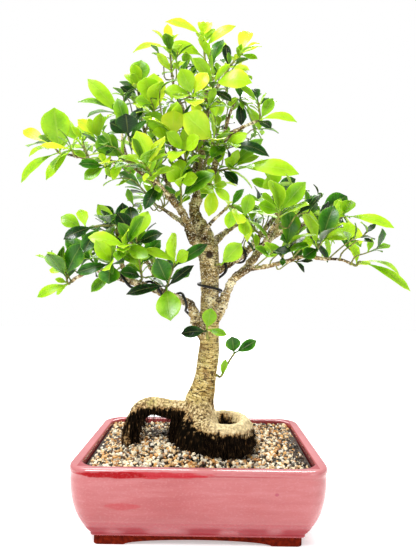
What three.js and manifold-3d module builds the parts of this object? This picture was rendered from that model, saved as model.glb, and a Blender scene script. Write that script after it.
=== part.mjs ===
// Tiger bark ficus bonsai, growing over gravel in a glazed pot with rounded corners.
// Millimetres, +Z up, origin on the ground under the middle of the pot, front of the tree towards -Y.

import * as THREE from 'three';
import { mergeVertices } from 'three/addons/utils/BufferGeometryUtils.js';
import Module from 'manifold-3d';

const wasm = await Module();
wasm.setup();

const V = ( x, y, z ) => new THREE.Vector3( x, y, z );

// Driving dimensions: pot
const potLength = 258;
const potDepth = 203;
const potHeight = 82;
const cornerRadius = 24;
const tightestCorner = 5;
const cornerSteps = 5;
const rimWidth = 11;
const wallThickness = 9;
const floorTop = 17;
const footHeight = 9.5;
const footInset = 24;
const footWidth = 13;
const footArchLong = 118;
const footArchShort = 70;
const footArchHeight = 3;
const archFullness = 0.8;
const archSteps = 8;
const drainRadius = 8;
const drainSpacing = 96;
const drainSides = 12;
const screenWidth = 30;
const screenThickness = 1.2;
const screenOpening = 4;

// The pot's outer profile above its foot: [ inset from the rim, height ]
const potProfile = [
	[ 24, footHeight ], [ 21, footHeight + 0.6 ], [ 21, 12.4 ], [ 18.6, 15.5 ], [ 13.4, 22.5 ],
	[ 8.2, 31 ], [ 4.4, 40.5 ], [ 1.6, 52 ], [ 0.3, 65 ], [ 0.9, 74 ], [ 0, 76.5 ], [ 0.4, 80.4 ],
	[ 2.2, potHeight ]
];

// The pot's hollow, from its floor up to the rim's inner edge: [ inset from the rim, height ]
const hollowProfile = [
	[ 32, floorTop ], [ wallThickness + 11, floorTop + 7 ], [ wallThickness + 1, floorTop + 28 ],
	[ wallThickness, potHeight - 12 ], [ rimWidth, potHeight - 8 ], [ rimWidth - 0.6, potHeight + 1 ]
];

// Driving dimensions: gravel
const gravelEdge = 75;
const gravelMound = 8;
const heapLength = 110;
const heapDepth = 75;
const grainHeight = 1.6;
const grainAtEdge = 0.3;
const gravelRings = 6;
const gravelPoints = 40;

// Driving dimensions: gaps, wire and foliage
const gap = 0.4;
const rootHoleGap = 0.5;
const wireRadius = 1.25;
const wireGap = 0.9;
const wireOversize = 1.06;
const wireSides = 5;
const wireSteps = 68;
const limbSwell = 0.05;
const limbRipple = 0.03;
const limbOversize = 1.08;
const twigRadius = 1.3;
const twigTaper = 0.3;
const twigSides = 3;
const twigSteps = 3;
const twigStub = 4;
const twigBendShare = 0.55;
const twigBendRise = 1.5;
const petioleRadius = 0.65;
const petioleShare = 0.14;
const bladeThickness = 1.25;
const bladeFullness = 0.8;
const widestShift = 1.08;
const largeLength = 52;
const largeWidth = 24;
const largeStations = [ petioleShare, 0.34, 0.58, 0.82 ];
const smallStations = [ 0.37, 0.72 ];
const bladeClearance = 3;
const siblingClearance = 1.2;
const woodClearance = 1.5;
const samplesNearRoot = 10;
const foldOfListed = 0.2;
const foldOfGrown = 0.25;
const lastRoot = 0.94;

// Driving dimensions: the leaves that the growth rule adds
const firstShare = 0.35;
const shortestLeaf = 34;
const leafSpread = 20;
const slimmestLeaf = 0.42;
const slimSpread = 0.12;
const longestAtBase = 1.1;
const shorterAtTip = 0.3;
const leastBow = 0.02;
const bowSpread = 0.12;
const facesViewer = 1.2;
const facesOutward = 0.9;
const forward = 0.45;
const forwardAtTip = 0.6;
const sideways = 1.1;
const sidewaysLossAtTip = 0.45;
const upward = 0.1;
const turnBetweenLeaves = 2.4;
const triedShifts = [ 0, 0.5, - 0.5, 1, - 1, 1.6, - 1.6, 2.4 ];
const canopyHeart = V( - 10, 10, 380 );
const startSide = V( 0.3, - 1, 0.1 );

// Every place in the tree is given as it is seen against the trunk's plane from a viewpoint
// in front of the pot, and set back by y along the line of sight.
const viewpoint = V( 7, - 560, 248 );

function seen( x, y, z ) {

	const reach = 1 + y / Math.abs( viewpoint.y );
	return V(
		viewpoint.x + ( x - viewpoint.x ) * reach,
		y,
		viewpoint.z + ( z - viewpoint.z ) * reach
	);

}

// Limbs of the tree, each a list of [ x, y, z, radius ]
const limbs = {

	trunk: {
		sides: 9, steps: 17,
		line: [
			[ - 2, - 6, 54, 27 ], [ - 2, - 6, 82, 26 ], [ - 1, - 3, 106, 21 ], [ - 1, 0, 127, 17 ],
			[ 5, 0, 152, 13.2 ], [ 9, 0, 188, 12 ], [ 9, 0, 215, 11.4 ], [ 9, 0, 260, 10.8 ], [ 8, 0, 288, 12 ],
			[ 6, 1, 308, 12.4 ], [ 1, 4, 326, 9.4 ], [ - 7, 7, 340, 7.6 ], [ - 11, 9, 354, 6.6 ],
			[ - 7, 11, 372, 6.2 ], [ - 11, 12, 392, 5.8 ], [ - 7, 12, 409, 5.2 ], [ - 1, 12, 426, 4.8 ],
			[ 1, 13, 461, 4.1 ], [ 0, 14, 498, 3.6 ], [ - 1, 14, 535, 3 ]
		]
	},

	root_skirt: {
		sides: 10, steps: 4,
		line: [ [ 0, - 22, 56, 30 ], [ - 1, - 20, 78, 29 ], [ - 1, - 12, 98, 23 ], [ 0, - 5, 118, 16 ] ]
	},
	root_arch: {
		sides: 7, steps: 10,
		line: [
			[ 0, - 2, 112, 14 ], [ - 18, 0, 115, 12 ], [ - 38, 2, 117, 11 ], [ - 56, 4, 120, 11 ],
			[ - 70, 5, 115, 11 ], [ - 78, 5, 100, 10 ], [ - 82, 4, 78, 9.5 ], [ - 83, 4, 54, 8 ]
		]
	},
	root_arch_leg: {
		sides: 6, steps: 4,
		line: [ [ - 20, 2, 110, 11 ], [ - 27, 0, 94, 9 ], [ - 26, - 2, 76, 9 ], [ - 24, - 2, 56, 8 ] ]
	},
	root_left_back: {
		sides: 6, steps: 4,
		line: [ [ - 4, 8, 102, 14 ], [ - 26, 26, 86, 9 ], [ - 46, 42, 74, 6 ], [ - 60, 52, 60, 4 ] ]
	},
	root_right_back: {
		sides: 6, steps: 4,
		line: [ [ 4, 8, 102, 14 ], [ 26, 28, 84, 9 ], [ 44, 42, 73, 6 ], [ 58, 50, 60, 4 ] ]
	},

	low_left: {
		sides: 5, steps: 12,
		line: [
			[ 4, - 2, 202, 8 ], [ - 4, - 7, 214, 7 ], [ - 13, - 13, 237, 5.4 ], [ - 26, - 17, 245, 4.8 ],
			[ - 39, - 20, 250, 4.6 ], [ - 66, - 22, 260, 4.2 ], [ - 86, - 22, 266, 3.8 ],
			[ - 109, - 14, 273, 3.3 ], [ - 129, - 6, 279, 2.8 ], [ - 148, 0, 270, 2.3 ], [ - 156, 2, 264, 2 ]
		]
	},
	low_left_up: {
		sides: 5, steps: 5,
		line: [
			[ - 84, - 22, 265, 3.4 ], [ - 94, - 27, 281, 2.8 ], [ - 99, - 30, 297, 2.3 ],
			[ - 101, - 27, 315, 1.9 ], [ - 104, - 22, 328, 1.6 ]
		]
	},
	low_left_back: {
		sides: 5, steps: 5,
		line: [
			[ - 50, - 21, 254, 3.4 ], [ - 56, - 4, 272, 2.9 ], [ - 68, 18, 292, 2.4 ],
			[ - 84, 40, 311, 2 ], [ - 96, 58, 322, 1.6 ]
		]
	},

	right_main: {
		sides: 6, steps: 12,
		line: [
			[ 8, 0, 216, 9 ], [ 21, - 2, 233, 7.2 ], [ 28, - 6, 251, 5.5 ], [ 36, - 8, 269, 5 ],
			[ 50, - 10, 281, 5 ], [ 62, - 8, 297, 4.8 ], [ 75, - 4, 314, 4.5 ], [ 88, 0, 325, 4.2 ],
			[ 104, 4, 328, 3.8 ], [ 118, 8, 334, 3.3 ], [ 139, 9, 336, 2.7 ], [ 159, 10, 343, 2.1 ]
		]
	},
	right_low: {
		sides: 5, steps: 8,
		line: [
			[ 46, - 11, 278, 3.6 ], [ 58, - 21, 283, 3.1 ], [ 77, - 31, 286, 2.7 ], [ 102, - 41, 293, 2.4 ],
			[ 118, - 47, 298, 2.2 ], [ 144, - 51, 296, 2 ], [ 165, - 53, 295, 1.7 ], [ 178, - 54, 290, 1.5 ]
		]
	},
	right_upper: {
		sides: 6, steps: 9,
		line: [
			[ 8, 8, 278, 6.6 ], [ 21, 20, 282, 5.4 ], [ 31, 24, 289, 5.2 ], [ 46, 27, 298, 4.8 ],
			[ 54, 29, 305, 4.4 ], [ 63, 32, 315, 3.9 ], [ 74, 37, 331, 3.2 ], [ 87, 44, 346, 2.6 ],
			[ 98, 51, 360, 2 ]
		]
	},
	right_top: {
		sides: 4, steps: 3,
		line: [ [ 84, 0, 323, 3.4 ], [ 88, 2, 337, 2.7 ], [ 87, 2, 353, 2.2 ], [ 84, 0, 367, 1.8 ] ]
	},
	right_back: {
		sides: 4, steps: 3,
		line: [ [ 102, 4, 328, 3.2 ], [ 114, 24, 334, 2.6 ], [ 125, 46, 341, 2.1 ], [ 133, 64, 348, 1.7 ] ]
	},
	right_front: {
		sides: 4, steps: 3,
		line: [ [ 72, - 5, 311, 3.2 ], [ 78, - 24, 324, 2.5 ], [ 82, - 46, 332, 2 ], [ 88, - 64, 340, 1.6 ] ]
	},

	up_left: {
		sides: 5, steps: 11,
		line: [
			[ 2, - 2, 302, 8 ], [ - 11, - 7, 316, 6 ], [ - 18, - 11, 333, 5.3 ], [ - 25, - 14, 349, 4.7 ],
			[ - 35, - 16, 361, 4.2 ], [ - 49, - 18, 376, 3.8 ], [ - 69, - 20, 393, 3.3 ],
			[ - 90, - 20, 405, 2.8 ], [ - 112, - 18, 409, 2.5 ], [ - 134, - 14, 411, 2.2 ],
			[ - 154, - 10, 415, 1.9 ], [ - 170, - 6, 418, 1.6 ]
		]
	},
	left_back: {
		sides: 5, steps: 5,
		line: [
			[ - 32, - 15, 357, 3.8 ], [ - 42, 4, 382, 3.1 ], [ - 58, 18, 414, 2.6 ],
			[ - 72, 24, 446, 2.1 ], [ - 78, 20, 476, 1.6 ]
		]
	},
	left_middle: {
		sides: 4, steps: 3,
		line: [ [ - 88, - 20, 404, 2.6 ], [ - 96, - 12, 424, 2.2 ], [ - 99, - 4, 442, 1.8 ], [ - 98, 2, 457, 1.6 ] ]
	},
	left_front: {
		sides: 4, steps: 2,
		line: [ [ - 67, - 20, 391, 2.8 ], [ - 76, - 33, 412, 2.1 ], [ - 88, - 44, 432, 1.6 ] ]
	},
	left_near: {
		sides: 4, steps: 3,
		line: [
			[ - 33, - 16, 359, 3.2 ], [ - 42, - 42, 370, 2.4 ], [ - 53, - 66, 382, 1.9 ],
			[ - 61, - 84, 390, 1.6 ]
		]
	},
	leader_left: {
		sides: 5, steps: 5,
		line: [
			[ - 11, 12, 390, 4.2 ], [ - 26, 0, 410, 3.1 ], [ - 38, - 12, 428, 2.5 ],
			[ - 50, - 22, 448, 2 ], [ - 58, - 27, 462, 1.6 ]
		]
	},
	thin_front: {
		sides: 4, steps: 3,
		line: [ [ - 2, 0, 312, 5 ], [ 4, - 13, 330, 2.8 ], [ 15, - 22, 343, 2.1 ], [ 28, - 27, 355, 1.7 ] ]
	},

	up_right: {
		sides: 5, steps: 7,
		line: [
			[ - 9, 10, 360, 5.4 ], [ 5, 4, 387, 4.4 ], [ 13, 0, 406, 4 ], [ 17, - 2, 424, 3.6 ],
			[ 25, - 4, 440, 3.1 ], [ 44, - 6, 452, 2.4 ], [ 63, - 8, 461, 1.8 ]
		]
	},
	up_right_fork: {
		sides: 4, steps: 3,
		line: [ [ 18, - 2, 426, 3 ], [ 24, 4, 446, 2.4 ], [ 30, 7, 468, 2 ], [ 36, 8, 484, 1.6 ] ]
	},
	top_left: {
		sides: 5, steps: 5,
		line: [
			[ - 1, 12, 428, 3.6 ], [ - 14, 7, 452, 2.8 ], [ - 27, 3, 476, 2.3 ],
			[ - 37, 0, 498, 1.8 ], [ - 40, - 1, 516, 1.5 ]
		]
	},
	top_right: {
		sides: 4, steps: 3,
		line: [ [ 1, 13, 470, 3.2 ], [ 10, 9, 491, 2.3 ], [ 19, 5, 509, 1.8 ], [ 27, 2, 523, 1.5 ] ]
	},
	top_front: {
		sides: 4, steps: 3,
		line: [ [ 0, 12, 442, 3.6 ], [ - 8, - 6, 464, 2.4 ], [ - 16, - 22, 482, 1.9 ], [ - 22, - 34, 496, 1.5 ] ]
	},
	top_back: {
		sides: 4, steps: 2,
		line: [ [ 1, 14, 456, 3.4 ], [ 4, 32, 478, 2.4 ], [ 6, 46, 494, 1.7 ] ]
	},

	back_left: {
		sides: 5, steps: 4,
		line: [ [ 2, 4, 312, 7 ], [ - 18, 34, 332, 4.2 ], [ - 38, 58, 346, 3 ], [ - 54, 74, 356, 1.9 ] ]
	},
	back_right: {
		sides: 5, steps: 4,
		line: [ [ 6, 4, 306, 7 ], [ 22, 34, 322, 4.2 ], [ 38, 56, 334, 3 ], [ 50, 70, 342, 1.9 ] ]
	},
	back_high: {
		sides: 5, steps: 3,
		line: [ [ - 10, 12, 386, 4.6 ], [ 0, 34, 406, 3 ], [ 6, 52, 422, 1.9 ] ]
	}

};

// The coiled root on the right: an oval section carried round a ring, wide at the soil
const coil = {
	sides: 8,
	steps: 16,
	centre: V( 29, - 25, 95 ),
	ringRadius: 21,
	halfWidth: 11,
	halfHeight: 19.5,
	rise: 3
};

// The wire's route: turns round a limb from one place on its list to another.
// Angle 0 is on the viewer's side, and 90 degrees is on the side of tangent x front.
const wireRoute = [
	{ limb: 'low_left', from: 7.5, to: 3.1, fromAngle: 990, toAngle: 90, count: 20 },
	{ limb: 'low_left', from: 2.85, to: 1.5, fromAngle: 35, toAngle: - 150, count: 7 },
	{ limb: 'trunk', from: 6.25, to: 7.05, fromAngle: 255, toAngle: 90, count: 5 },
	{ limb: 'trunk', from: 7.07, to: 7.2, fromAngle: 50, toAngle: - 200, count: 7 },
	{ limb: 'right_upper', from: 1, to: 5.2, fromAngle: 90, toAngle: - 720, count: 19 }
];

// Leafy shoots. Each stands on a limb, at a place along its list, and its twig runs to "end".
// A leaf is [ x, y, z of its tip, share along the twig, width, lean to the viewer, bow ].
// "more" leaves are added by the growth rule further down.
const shoots = [

	// Crown
	{ name: 'crown_tip', on: 'trunk', at: 19, end: [ - 4, 11, 565 ], more: 1, leaves: [
		[ - 49, 2, 583, 0.95, 17, 0.7, 0.1 ], [ 7, 6, 582, 1, 9, 0.8, 0.04 ],
		[ 36, - 4, 578, 0.5, 14, 0.8, 0.14 ], [ - 48, - 8, 549, 0.12, 21, 0.8, 0.16 ]
	] },
	{ name: 'crown_left', on: 'top_left', at: 4, end: [ - 44, - 2, 552 ], more: 5, leaves: [
		[ - 47, - 6, 579, 1, 11, 1, 0.02 ], [ - 88, - 12, 546, 0.85, 14, 0.6, 0.12 ],
		[ - 59, - 16, 543, 0.25, 11, 0.9, 0.05 ]
	] },
	{ name: 'crown_right', on: 'top_right', at: 3, end: [ 45, - 2, 544 ], more: 3, leaves: [
		[ 65, - 4, 557, 1, 10, 0.8, 0.06 ], [ 63, - 10, 537, 0.85, 9, 0.8, 0.05 ],
		[ 53, - 12, 524, 0.3, 10, 0.8, 0.05 ], [ 24, 4, 555, 0.2, 11, 0.9, 0.05 ]
	] },
	{ name: 'crown_front', on: 'top_right', at: 0.9, end: [ 10, - 12, 505 ], more: 4, leaves: [
		[ 56, - 28, 509, 1, 27, 0.85, 0.14 ], [ 32, - 20, 484, 0.55, 12, 0.7, 0.08 ],
			[ - 14, - 34, 538, 0.9, 18, 0.8, 0.06 ]
	] },
	{ name: 'crown_near', on: 'top_front', at: 2.2, end: [ - 14, - 44, 490 ], more: 3, leaves: [
			[ - 30, - 56, 524, 1, 20, 0.9, 0.05 ], [ 2, - 50, 520, 0.9, 18, 0.8, 0.08 ],
			[ - 50, - 52, 496, 0.8, 18, 0.8, 0.08 ]
		] },
	{ name: 'back_high_tip', on: 'back_high', at: 2, end: [ 18, 104, 462 ], more: 9, leaves: [] },
	{ name: 'crown_back', on: 'top_back', at: 2, end: [ 10, 84, 536 ], more: 9, leaves: [] },

	// Upper right
	{ name: 'upper_right_tip', on: 'up_right', at: 6, end: [ 64, - 8, 484 ], more: 1, leaves: [
		[ 41, - 14, 506, 1, 9, 0.8, 0.08 ], [ 82, - 14, 489, 0.3, 14, 1, 0.05 ],
		[ 111, - 20, 462, 0.16, 14, 0.7, 0.16 ], [ 80, - 22, 453, 0.02, 13, 0.7, 0.06 ]
	] },
	{ name: 'upper_right_fork', on: 'up_right_fork', at: 3, end: [ 50, 12, 480 ], more: 5, leaves: [
		[ 40, 0, 514, 0.6, 12, 0.9, 0.04 ]
	] },
	{ name: 'upper_right_arc', on: 'up_right', at: 3.4, end: [ 28, - 18, 426 ], more: 2, leaves: [
		[ 78, - 32, 419, 1, 15, 0.75, 0.2 ], [ 51, - 28, 442, 0.7, 14, 0.8, 0.05 ]
	] },
	{ name: 'upper_right_face', on: 'up_right', at: 2.7, end: [ 11, - 28, 435 ], more: 3, leaves: [
		[ - 26, - 52, 468, 1, 33, 0.95, 0.06 ]
	] },
	{ name: 'upper_right_long', on: 'up_right', at: 1.8, end: [ 42, - 16, 402 ], more: 3, leaves: [
		[ 114, - 30, 397, 1, 22, 0.8, 0.14 ], [ 25, - 28, 414, 0.8, 13, 0.9, 0.04 ],
		[ 40, - 26, 385, 0.45, 13, 0.8, 0.06 ],
			[ 70, - 26, 440, 0.7, 16, 0.8, 0.08 ]
	] },
	{ name: 'upper_right_inner', on: 'up_right', at: 0.9, end: [ 11, - 10, 380 ], more: 3, leaves: [
		[ 31, - 20, 363, 1, 12, 0.8, 0.1 ], [ 28, - 18, 383, 0.9, 11, 0.8, 0.05 ],
			[ 4, - 36, 402, 0.6, 14, 0.9, 0.05 ]
	] },

	// Upper left
	{ name: 'upper_left_back', on: 'left_back', at: 4, end: [ - 80, 16, 500 ], more: 4, leaves: [
		[ - 78, 12, 534, 0.9, 25, 1, 0.05 ], [ - 102, 6, 501, 0.3, 15, 0.8, 0.1 ]
	] },
	{ name: 'upper_left_high', on: 'leader_left', at: 4, end: [ - 61, - 34, 478 ], more: 6, leaves: [
		[ - 62, - 46, 518, 0.3, 27, 1, 0.05 ],
			[ - 84, - 42, 486, 0.9, 16, 0.8, 0.06 ]
	] },
	{ name: 'upper_left_round', on: 'leader_left', at: 2, end: [ - 37, - 34, 440 ], more: 5, leaves: [
		[ - 38, - 42, 473, 1, 28, 1, 0.05 ],
			[ - 72, - 44, 468, 0.9, 22, 0.9, 0.06 ],
			[ - 62, - 56, 446, 0.6, 17, 0.9, 0.06 ]
	] },
	{ name: 'upper_left_long', on: 'left_middle', at: 3, end: [ - 104, 2, 468 ], more: 1, leaves: [
		[ - 142, - 6, 509, 0.4, 19, 0.9, 0.08 ], [ - 153, 8, 481, 0.9, 12, 0.6, 0.14 ]
	] },
	{ name: 'upper_left_dark', on: 'left_front', at: 2, end: [ - 92, - 48, 444 ], more: 2, leaves: [
		[ - 95, - 58, 468, 0.5, 25, 1, 0.04 ],
			[ - 114, - 56, 457, 0.7, 18, 0.8, 0.06 ],
			[ - 74, - 62, 438, 0.5, 18, 0.9, 0.06 ], [ - 106, - 52, 487, 1, 16, 0.8, 0.06 ]
	] },
	{ name: 'upper_left_wide', on: 'up_left', at: 7.2, end: [ - 100, - 32, 412 ], more: 2, leaves: [
		[ - 128, - 40, 440, 1, 27, 0.9, 0.06 ]
	] },
	{ name: 'upper_left_yellow', on: 'up_left', at: 8.6, end: [ - 128, - 16, 440 ], more: 2, leaves: [
		[ - 153, - 22, 460, 1, 13, 0.9, 0.05 ]
	] },
	{ name: 'back_left_tip', on: 'back_left', at: 3, end: [ - 88, 112, 390 ], more: 9, leaves: [] },
	{ name: 'upper_left_inner', on: 'up_left', at: 3.6, end: [ - 28, - 42, 386 ], more: 6, leaves: [
			[ - 44, - 56, 402, 1, 20, 0.9, 0.05 ], [ - 8, - 54, 392, 0.9, 17, 0.9, 0.06 ]
		] },
	{ name: 'upper_left_near', on: 'left_near', at: 3, end: [ - 70, - 102, 404 ], more: 5, leaves: [] },
	{ name: 'upper_left_heart', on: 'leader_left', at: 0.9, end: [ - 24, - 40, 424 ], more: 5, leaves: [
			[ - 6, - 58, 441, 0.85, 18, 0.9, 0.06 ], [ - 46, - 56, 446, 0.9, 17, 0.8, 0.06 ]
		] },
	{ name: 'upper_left_low', on: 'up_left', at: 5.3, end: [ - 62, - 50, 404 ], more: 5, leaves: [
		[ - 70, - 40, 352, 0.25, 14, 0.9, 0.1 ]
	] },

	// Far left
	{ name: 'far_left_tip', on: 'up_left', at: 11, end: [ - 187, - 2, 430 ], more: 1, leaves: [
		[ - 181, - 22, 474, 0.25, 35, 1, 0.05 ], [ - 219, 6, 447, 1, 15, 0.8, 0.05 ],
		[ - 211, - 8, 415, 0.8, 12, 0.5, 0.08 ], [ - 220, 2, 383, 0.35, 15, 0.7, 0.12 ]
	] },
	{ name: 'far_left_front', on: 'up_left', at: 10, end: [ - 160, - 26, 423 ], more: 1, leaves: [
		[ - 197, - 34, 427, 1, 12, 0.6, 0.06 ], [ - 189, - 38, 386, 0.7, 13, 0.8, 0.1 ]
	] },
	{ name: 'far_left_inner', on: 'up_left', at: 8.2, end: [ - 118, - 36, 402 ], more: 1, leaves: [
		[ - 143, - 44, 387, 1, 15, 0.8, 0.08 ],
			[ - 150, - 50, 406, 0.9, 14, 0.8, 0.06 ]
	] },
	{ name: 'far_left_back', on: 'up_left', at: 9.4, end: [ - 150, 18, 432 ], more: 5, leaves: [
			[ - 176, 14, 462, 0.8, 17, 0.9, 0.05 ]
		] },

	// Low left
	{ name: 'low_left_tip', on: 'low_left', at: 10, end: [ - 164, 0, 277 ], more: 3, leaves: [
		[ - 196, - 6, 246, 0.2, 13, 0.8, 0.12 ], [ - 144, - 18, 310, 0.7, 24, 1, 0.05 ],
		[ - 182, 2, 278, 1, 10, 0.7, 0.05 ], [ - 185, - 6, 300, 0.95, 11, 0.6, 0.06 ]
	] },
	{ name: 'low_left_high', on: 'low_left_up', at: 4, end: [ - 145, - 30, 327 ], more: 1, leaves: [
		[ - 170, - 34, 342, 1, 17, 0.8, 0.06 ], [ - 166, - 44, 316, 0.7, 15, 0.8, 0.06 ],
		[ - 120, - 62, 346, 0.45, 25, 0.6, 0.05 ],
			[ - 142, - 52, 298, 0.6, 18, 0.8, 0.06 ]
	] },
	{ name: 'low_left_bright', on: 'low_left_up', at: 2.2, end: [ - 90, - 46, 308 ], more: 5, leaves: [
		[ - 137, - 54, 318, 1, 17, 0.8, 0.1 ]
	] },
	{ name: 'low_left_heart', on: 'low_left', at: 6.7, end: [ - 109, - 42, 288 ], more: 5, leaves: [
		[ - 111, - 50, 262, 1, 24, 1, 0.05 ], [ - 150, - 40, 275, 0.8, 14, 0.8, 0.06 ],
		[ - 132, - 34, 253, 0.4, 13, 0.8, 0.05 ],
			[ - 128, - 72, 314, 0.9, 17, 0.8, 0.06 ]
	] },
	{ name: 'low_left_middle', on: 'low_left', at: 5.4, end: [ - 80, - 36, 318 ], more: 4, leaves: [
		[ - 50, - 52, 324, 0.85, 15, 0.8, 0.06 ], [ - 66, - 36, 350, 1, 17, 0.8, 0.04 ],
		[ - 103, - 44, 348, 0.9, 18, 0.8, 0.06 ],
			[ - 88, - 24, 356, 0.95, 17, 0.8, 0.08 ], [ - 98, - 46, 277, 0.3, 16, 0.7, 0.1 ]
	] },
	{ name: 'low_left_stem', on: 'low_left', at: 4.25, end: [ - 32, - 34, 290 ], more: 1, leaves: [
		[ - 71, - 50, 303, 1, 14, 0.6, 0.1 ], [ - 17, - 50, 302, 1, 15, 0.9, 0.04 ],
		[ 6, - 40, 311, 0.75, 14, 0.8, 0.1 ], [ - 11, - 38, 286, 0.25, 11, 0.8, 0.06 ],
			[ - 54, - 46, 293, 0.4, 23, 1, 0.04 ], [ - 37, - 52, 220, 0.3, 28, 1, 0.06 ],
			[ - 90, - 44, 250, 0.34, 13, 0.7, 0.08 ]
	] },
	{ name: 'low_left_back_tip', on: 'low_left_back', at: 4, end: [ - 108, 74, 334 ], more: 5, leaves: [] },
	{ name: 'low_left_back_mid', on: 'low_left_back', at: 2.5, end: [ - 96, 12, 324 ], more: 5, leaves: [] },
	{ name: 'low_left_back_low', on: 'low_left', at: 8, end: [ - 138, 26, 294 ], more: 5, leaves: [] },

	// Low on the trunk
	{ name: 'trunk_left', on: 'trunk', at: 5.5, end: [ 6, - 22, 211 ], more: 0, leaves: [
		[ 11, - 30, 235, 1, 17, 1, 0.04 ], [ - 24, - 26, 205, 0.7, 14, 0.8, 0.14 ],
		[ 30, - 28, 204, 0.85, 9, 0.8, 0.1 ]
	] },
	{ name: 'trunk_right', on: 'trunk', at: 4.2, end: [ 40, - 6, 184 ], more: 0, leaves: [
		[ 36, - 14, 202, 0.92, 18, 1, 0.03 ], [ 65, - 6, 198, 1, 13, 0.9, 0.08 ],
		[ 29, - 12, 175, 0.35, 8, 0.9, 0.03 ]
	] },
	{ name: 'trunk_leaf', on: 'trunk', at: 7.9, end: [ 22, - 18, 286 ], more: 0, leaves: [
		[ 46, - 30, 313, 0.9, 21, 1, 0.04 ]
	] },

	// Right
	{ name: 'right_top_tip', on: 'right_top', at: 3, end: [ 85, - 3, 378 ], more: 2, leaves: [
		[ 78, - 20, 396, 0.8, 27, 1, 0.04 ], [ 110, - 4, 391, 1, 14, 0.8, 0.06 ],
		[ 57, - 4, 389, 0.9, 13, 0.8, 0.06 ]
	] },
	{ name: 'right_yellow', on: 'right_main', at: 8.6, end: [ 111, - 6, 350 ], more: 4, leaves: [
		[ 95, - 24, 368, 1, 26, 1, 0.04 ]
	] },
	{ name: 'right_tip', on: 'right_main', at: 11, end: [ 170, 4, 346 ], more: 2, leaves: [
		[ 162, - 8, 366, 0.3, 14, 0.8, 0.05 ], [ 228, - 21, 334, 1, 15, 0.7, 0.12 ],
		[ 188, 0, 310, 0.7, 14, 0.9, 0.05 ], [ 177, - 6, 305, 0.15, 14, 0.8, 0.06 ],
			[ 170, - 16, 313, 0.5, 13, 0.8, 0.06 ]
	] },
	{ name: 'right_low_tip', on: 'right_low', at: 7, end: [ 188, - 55, 293 ], more: 1, leaves: [
		[ 247, - 60, 259, 0.9, 11, 0.7, 0.12 ]
	] },
	{ name: 'right_low_mid', on: 'right_low', at: 4.6, end: [ 142, - 58, 316 ], more: 5, leaves: [
			[ 120, - 62, 297, 0.5, 15, 0.8, 0.08 ]
		] },
	{ name: 'right_low_inner', on: 'right_low', at: 2.8, end: [ 100, - 56, 312 ], more: 5, leaves: [
			[ 70, - 52, 302, 0.7, 17, 0.8, 0.08 ]
		] },
	{ name: 'right_dark', on: 'right_main', at: 9.4, end: [ 129, - 10, 318 ], more: 4, leaves: [
		[ 134, - 18, 338, 1, 18, 1, 0.04 ]
	] },
	{ name: 'right_near', on: 'right_front', at: 3, end: [ 92, - 78, 352 ], more: 6, leaves: [
			[ 66, - 84, 360, 0.7, 16, 0.8, 0.06 ]
		] },
	{ name: 'right_back_tip', on: 'right_back', at: 3, end: [ 146, 82, 340 ], more: 5, leaves: [] },
	{ name: 'right_back_mid', on: 'right_back', at: 1.7, end: [ 130, 30, 330 ], more: 5, leaves: [] },
	{ name: 'right_upper_tip', on: 'right_upper', at: 8, end: [ 106, 60, 342 ], more: 6, leaves: [] },
	{ name: 'right_upper_mid', on: 'right_upper', at: 5.6, end: [ 56, 40, 336 ], more: 5, leaves: [] },
	{ name: 'back_right_tip', on: 'back_right', at: 3, end: [ 76, 110, 358 ], more: 9, leaves: [] },
	{ name: 'right_thin', on: 'thin_front', at: 3, end: [ 50, - 38, 342 ], more: 6, leaves: [
		[ 56, - 44, 372, 1, 16, 0.9, 0.05 ],
			[ 30, - 46, 330, 0.5, 14, 0.8, 0.08 ]
	] }

];

// Shapes from rings of points: a ring of one point closes to a tip, other ends are capped

function solid( points, triangles ) {

	const vertProperties = new Float32Array( points.flatMap( ( p ) => [ p.x, p.y, p.z ] ) );
	const triVerts = new Uint32Array( triangles.flat() );
	return new wasm.Manifold( new wasm.Mesh( { numProp: 3, vertProperties, triVerts } ) );

}

function signedVolume( points, triangles ) {

	let volume = 0;
	for ( const [ a, b, c ] of triangles ) {

		volume += points[ a ].dot( points[ b ].clone().cross( points[ c ] ) ) / 6;

	}

	return volume;

}

function cap( ring, start, triangles, flip ) {

	for ( let i = 1; i < ring.length - 1; i ++ ) {

		triangles.push( flip ? [ start, start + i + 1, start + i ] : [ start, start + i, start + i + 1 ] );

	}

}

function loft( rings, alikeFaces = false ) {

	const points = rings.flat();
	const triangles = [];
	let start = 0;
	for ( let r = 0; r + 1 < rings.length; r ++ ) {

		const low = rings[ r ];
		const high = rings[ r + 1 ];
		const next = start + low.length;
		const count = Math.max( low.length, high.length );
		for ( let i = 0; i < count; i ++ ) {

			const j = ( i + 1 ) % count;
			const a = start + i;
			const b = start + j;
			if ( low.length === 1 ) {

				triangles.push( [ start, next + j, next + i ] );

			} else if ( high.length === 1 ) {

				triangles.push( [ a, b, next ] );

			} else if ( alikeFaces && i % 2 === 1 ) {

				triangles.push( [ a, b, next + i ], [ b, next + j, next + i ] );

			} else {

				triangles.push( [ a, b, next + j ], [ a, next + j, next + i ] );

			}

		}

		start = next;

	}

	const last = rings[ rings.length - 1 ];
	cap( rings[ 0 ], 0, triangles, true );
	cap( last, start, triangles, false );
	if ( signedVolume( points, triangles ) < 0 ) triangles.forEach( ( t ) => t.reverse() );
	return solid( points, triangles );

}

function fromGeometry( geometry ) {

	const bare = geometry.clone();
	bare.deleteAttribute( 'normal' );
	bare.deleteAttribute( 'uv' );
	const merged = mergeVertices( bare, 1e-4 );
	return new wasm.Manifold( new wasm.Mesh( {
		numProp: 3,
		vertProperties: new Float32Array( merged.attributes.position.array ),
		triVerts: new Uint32Array( merged.index.array )
	} ) );

}

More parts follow.
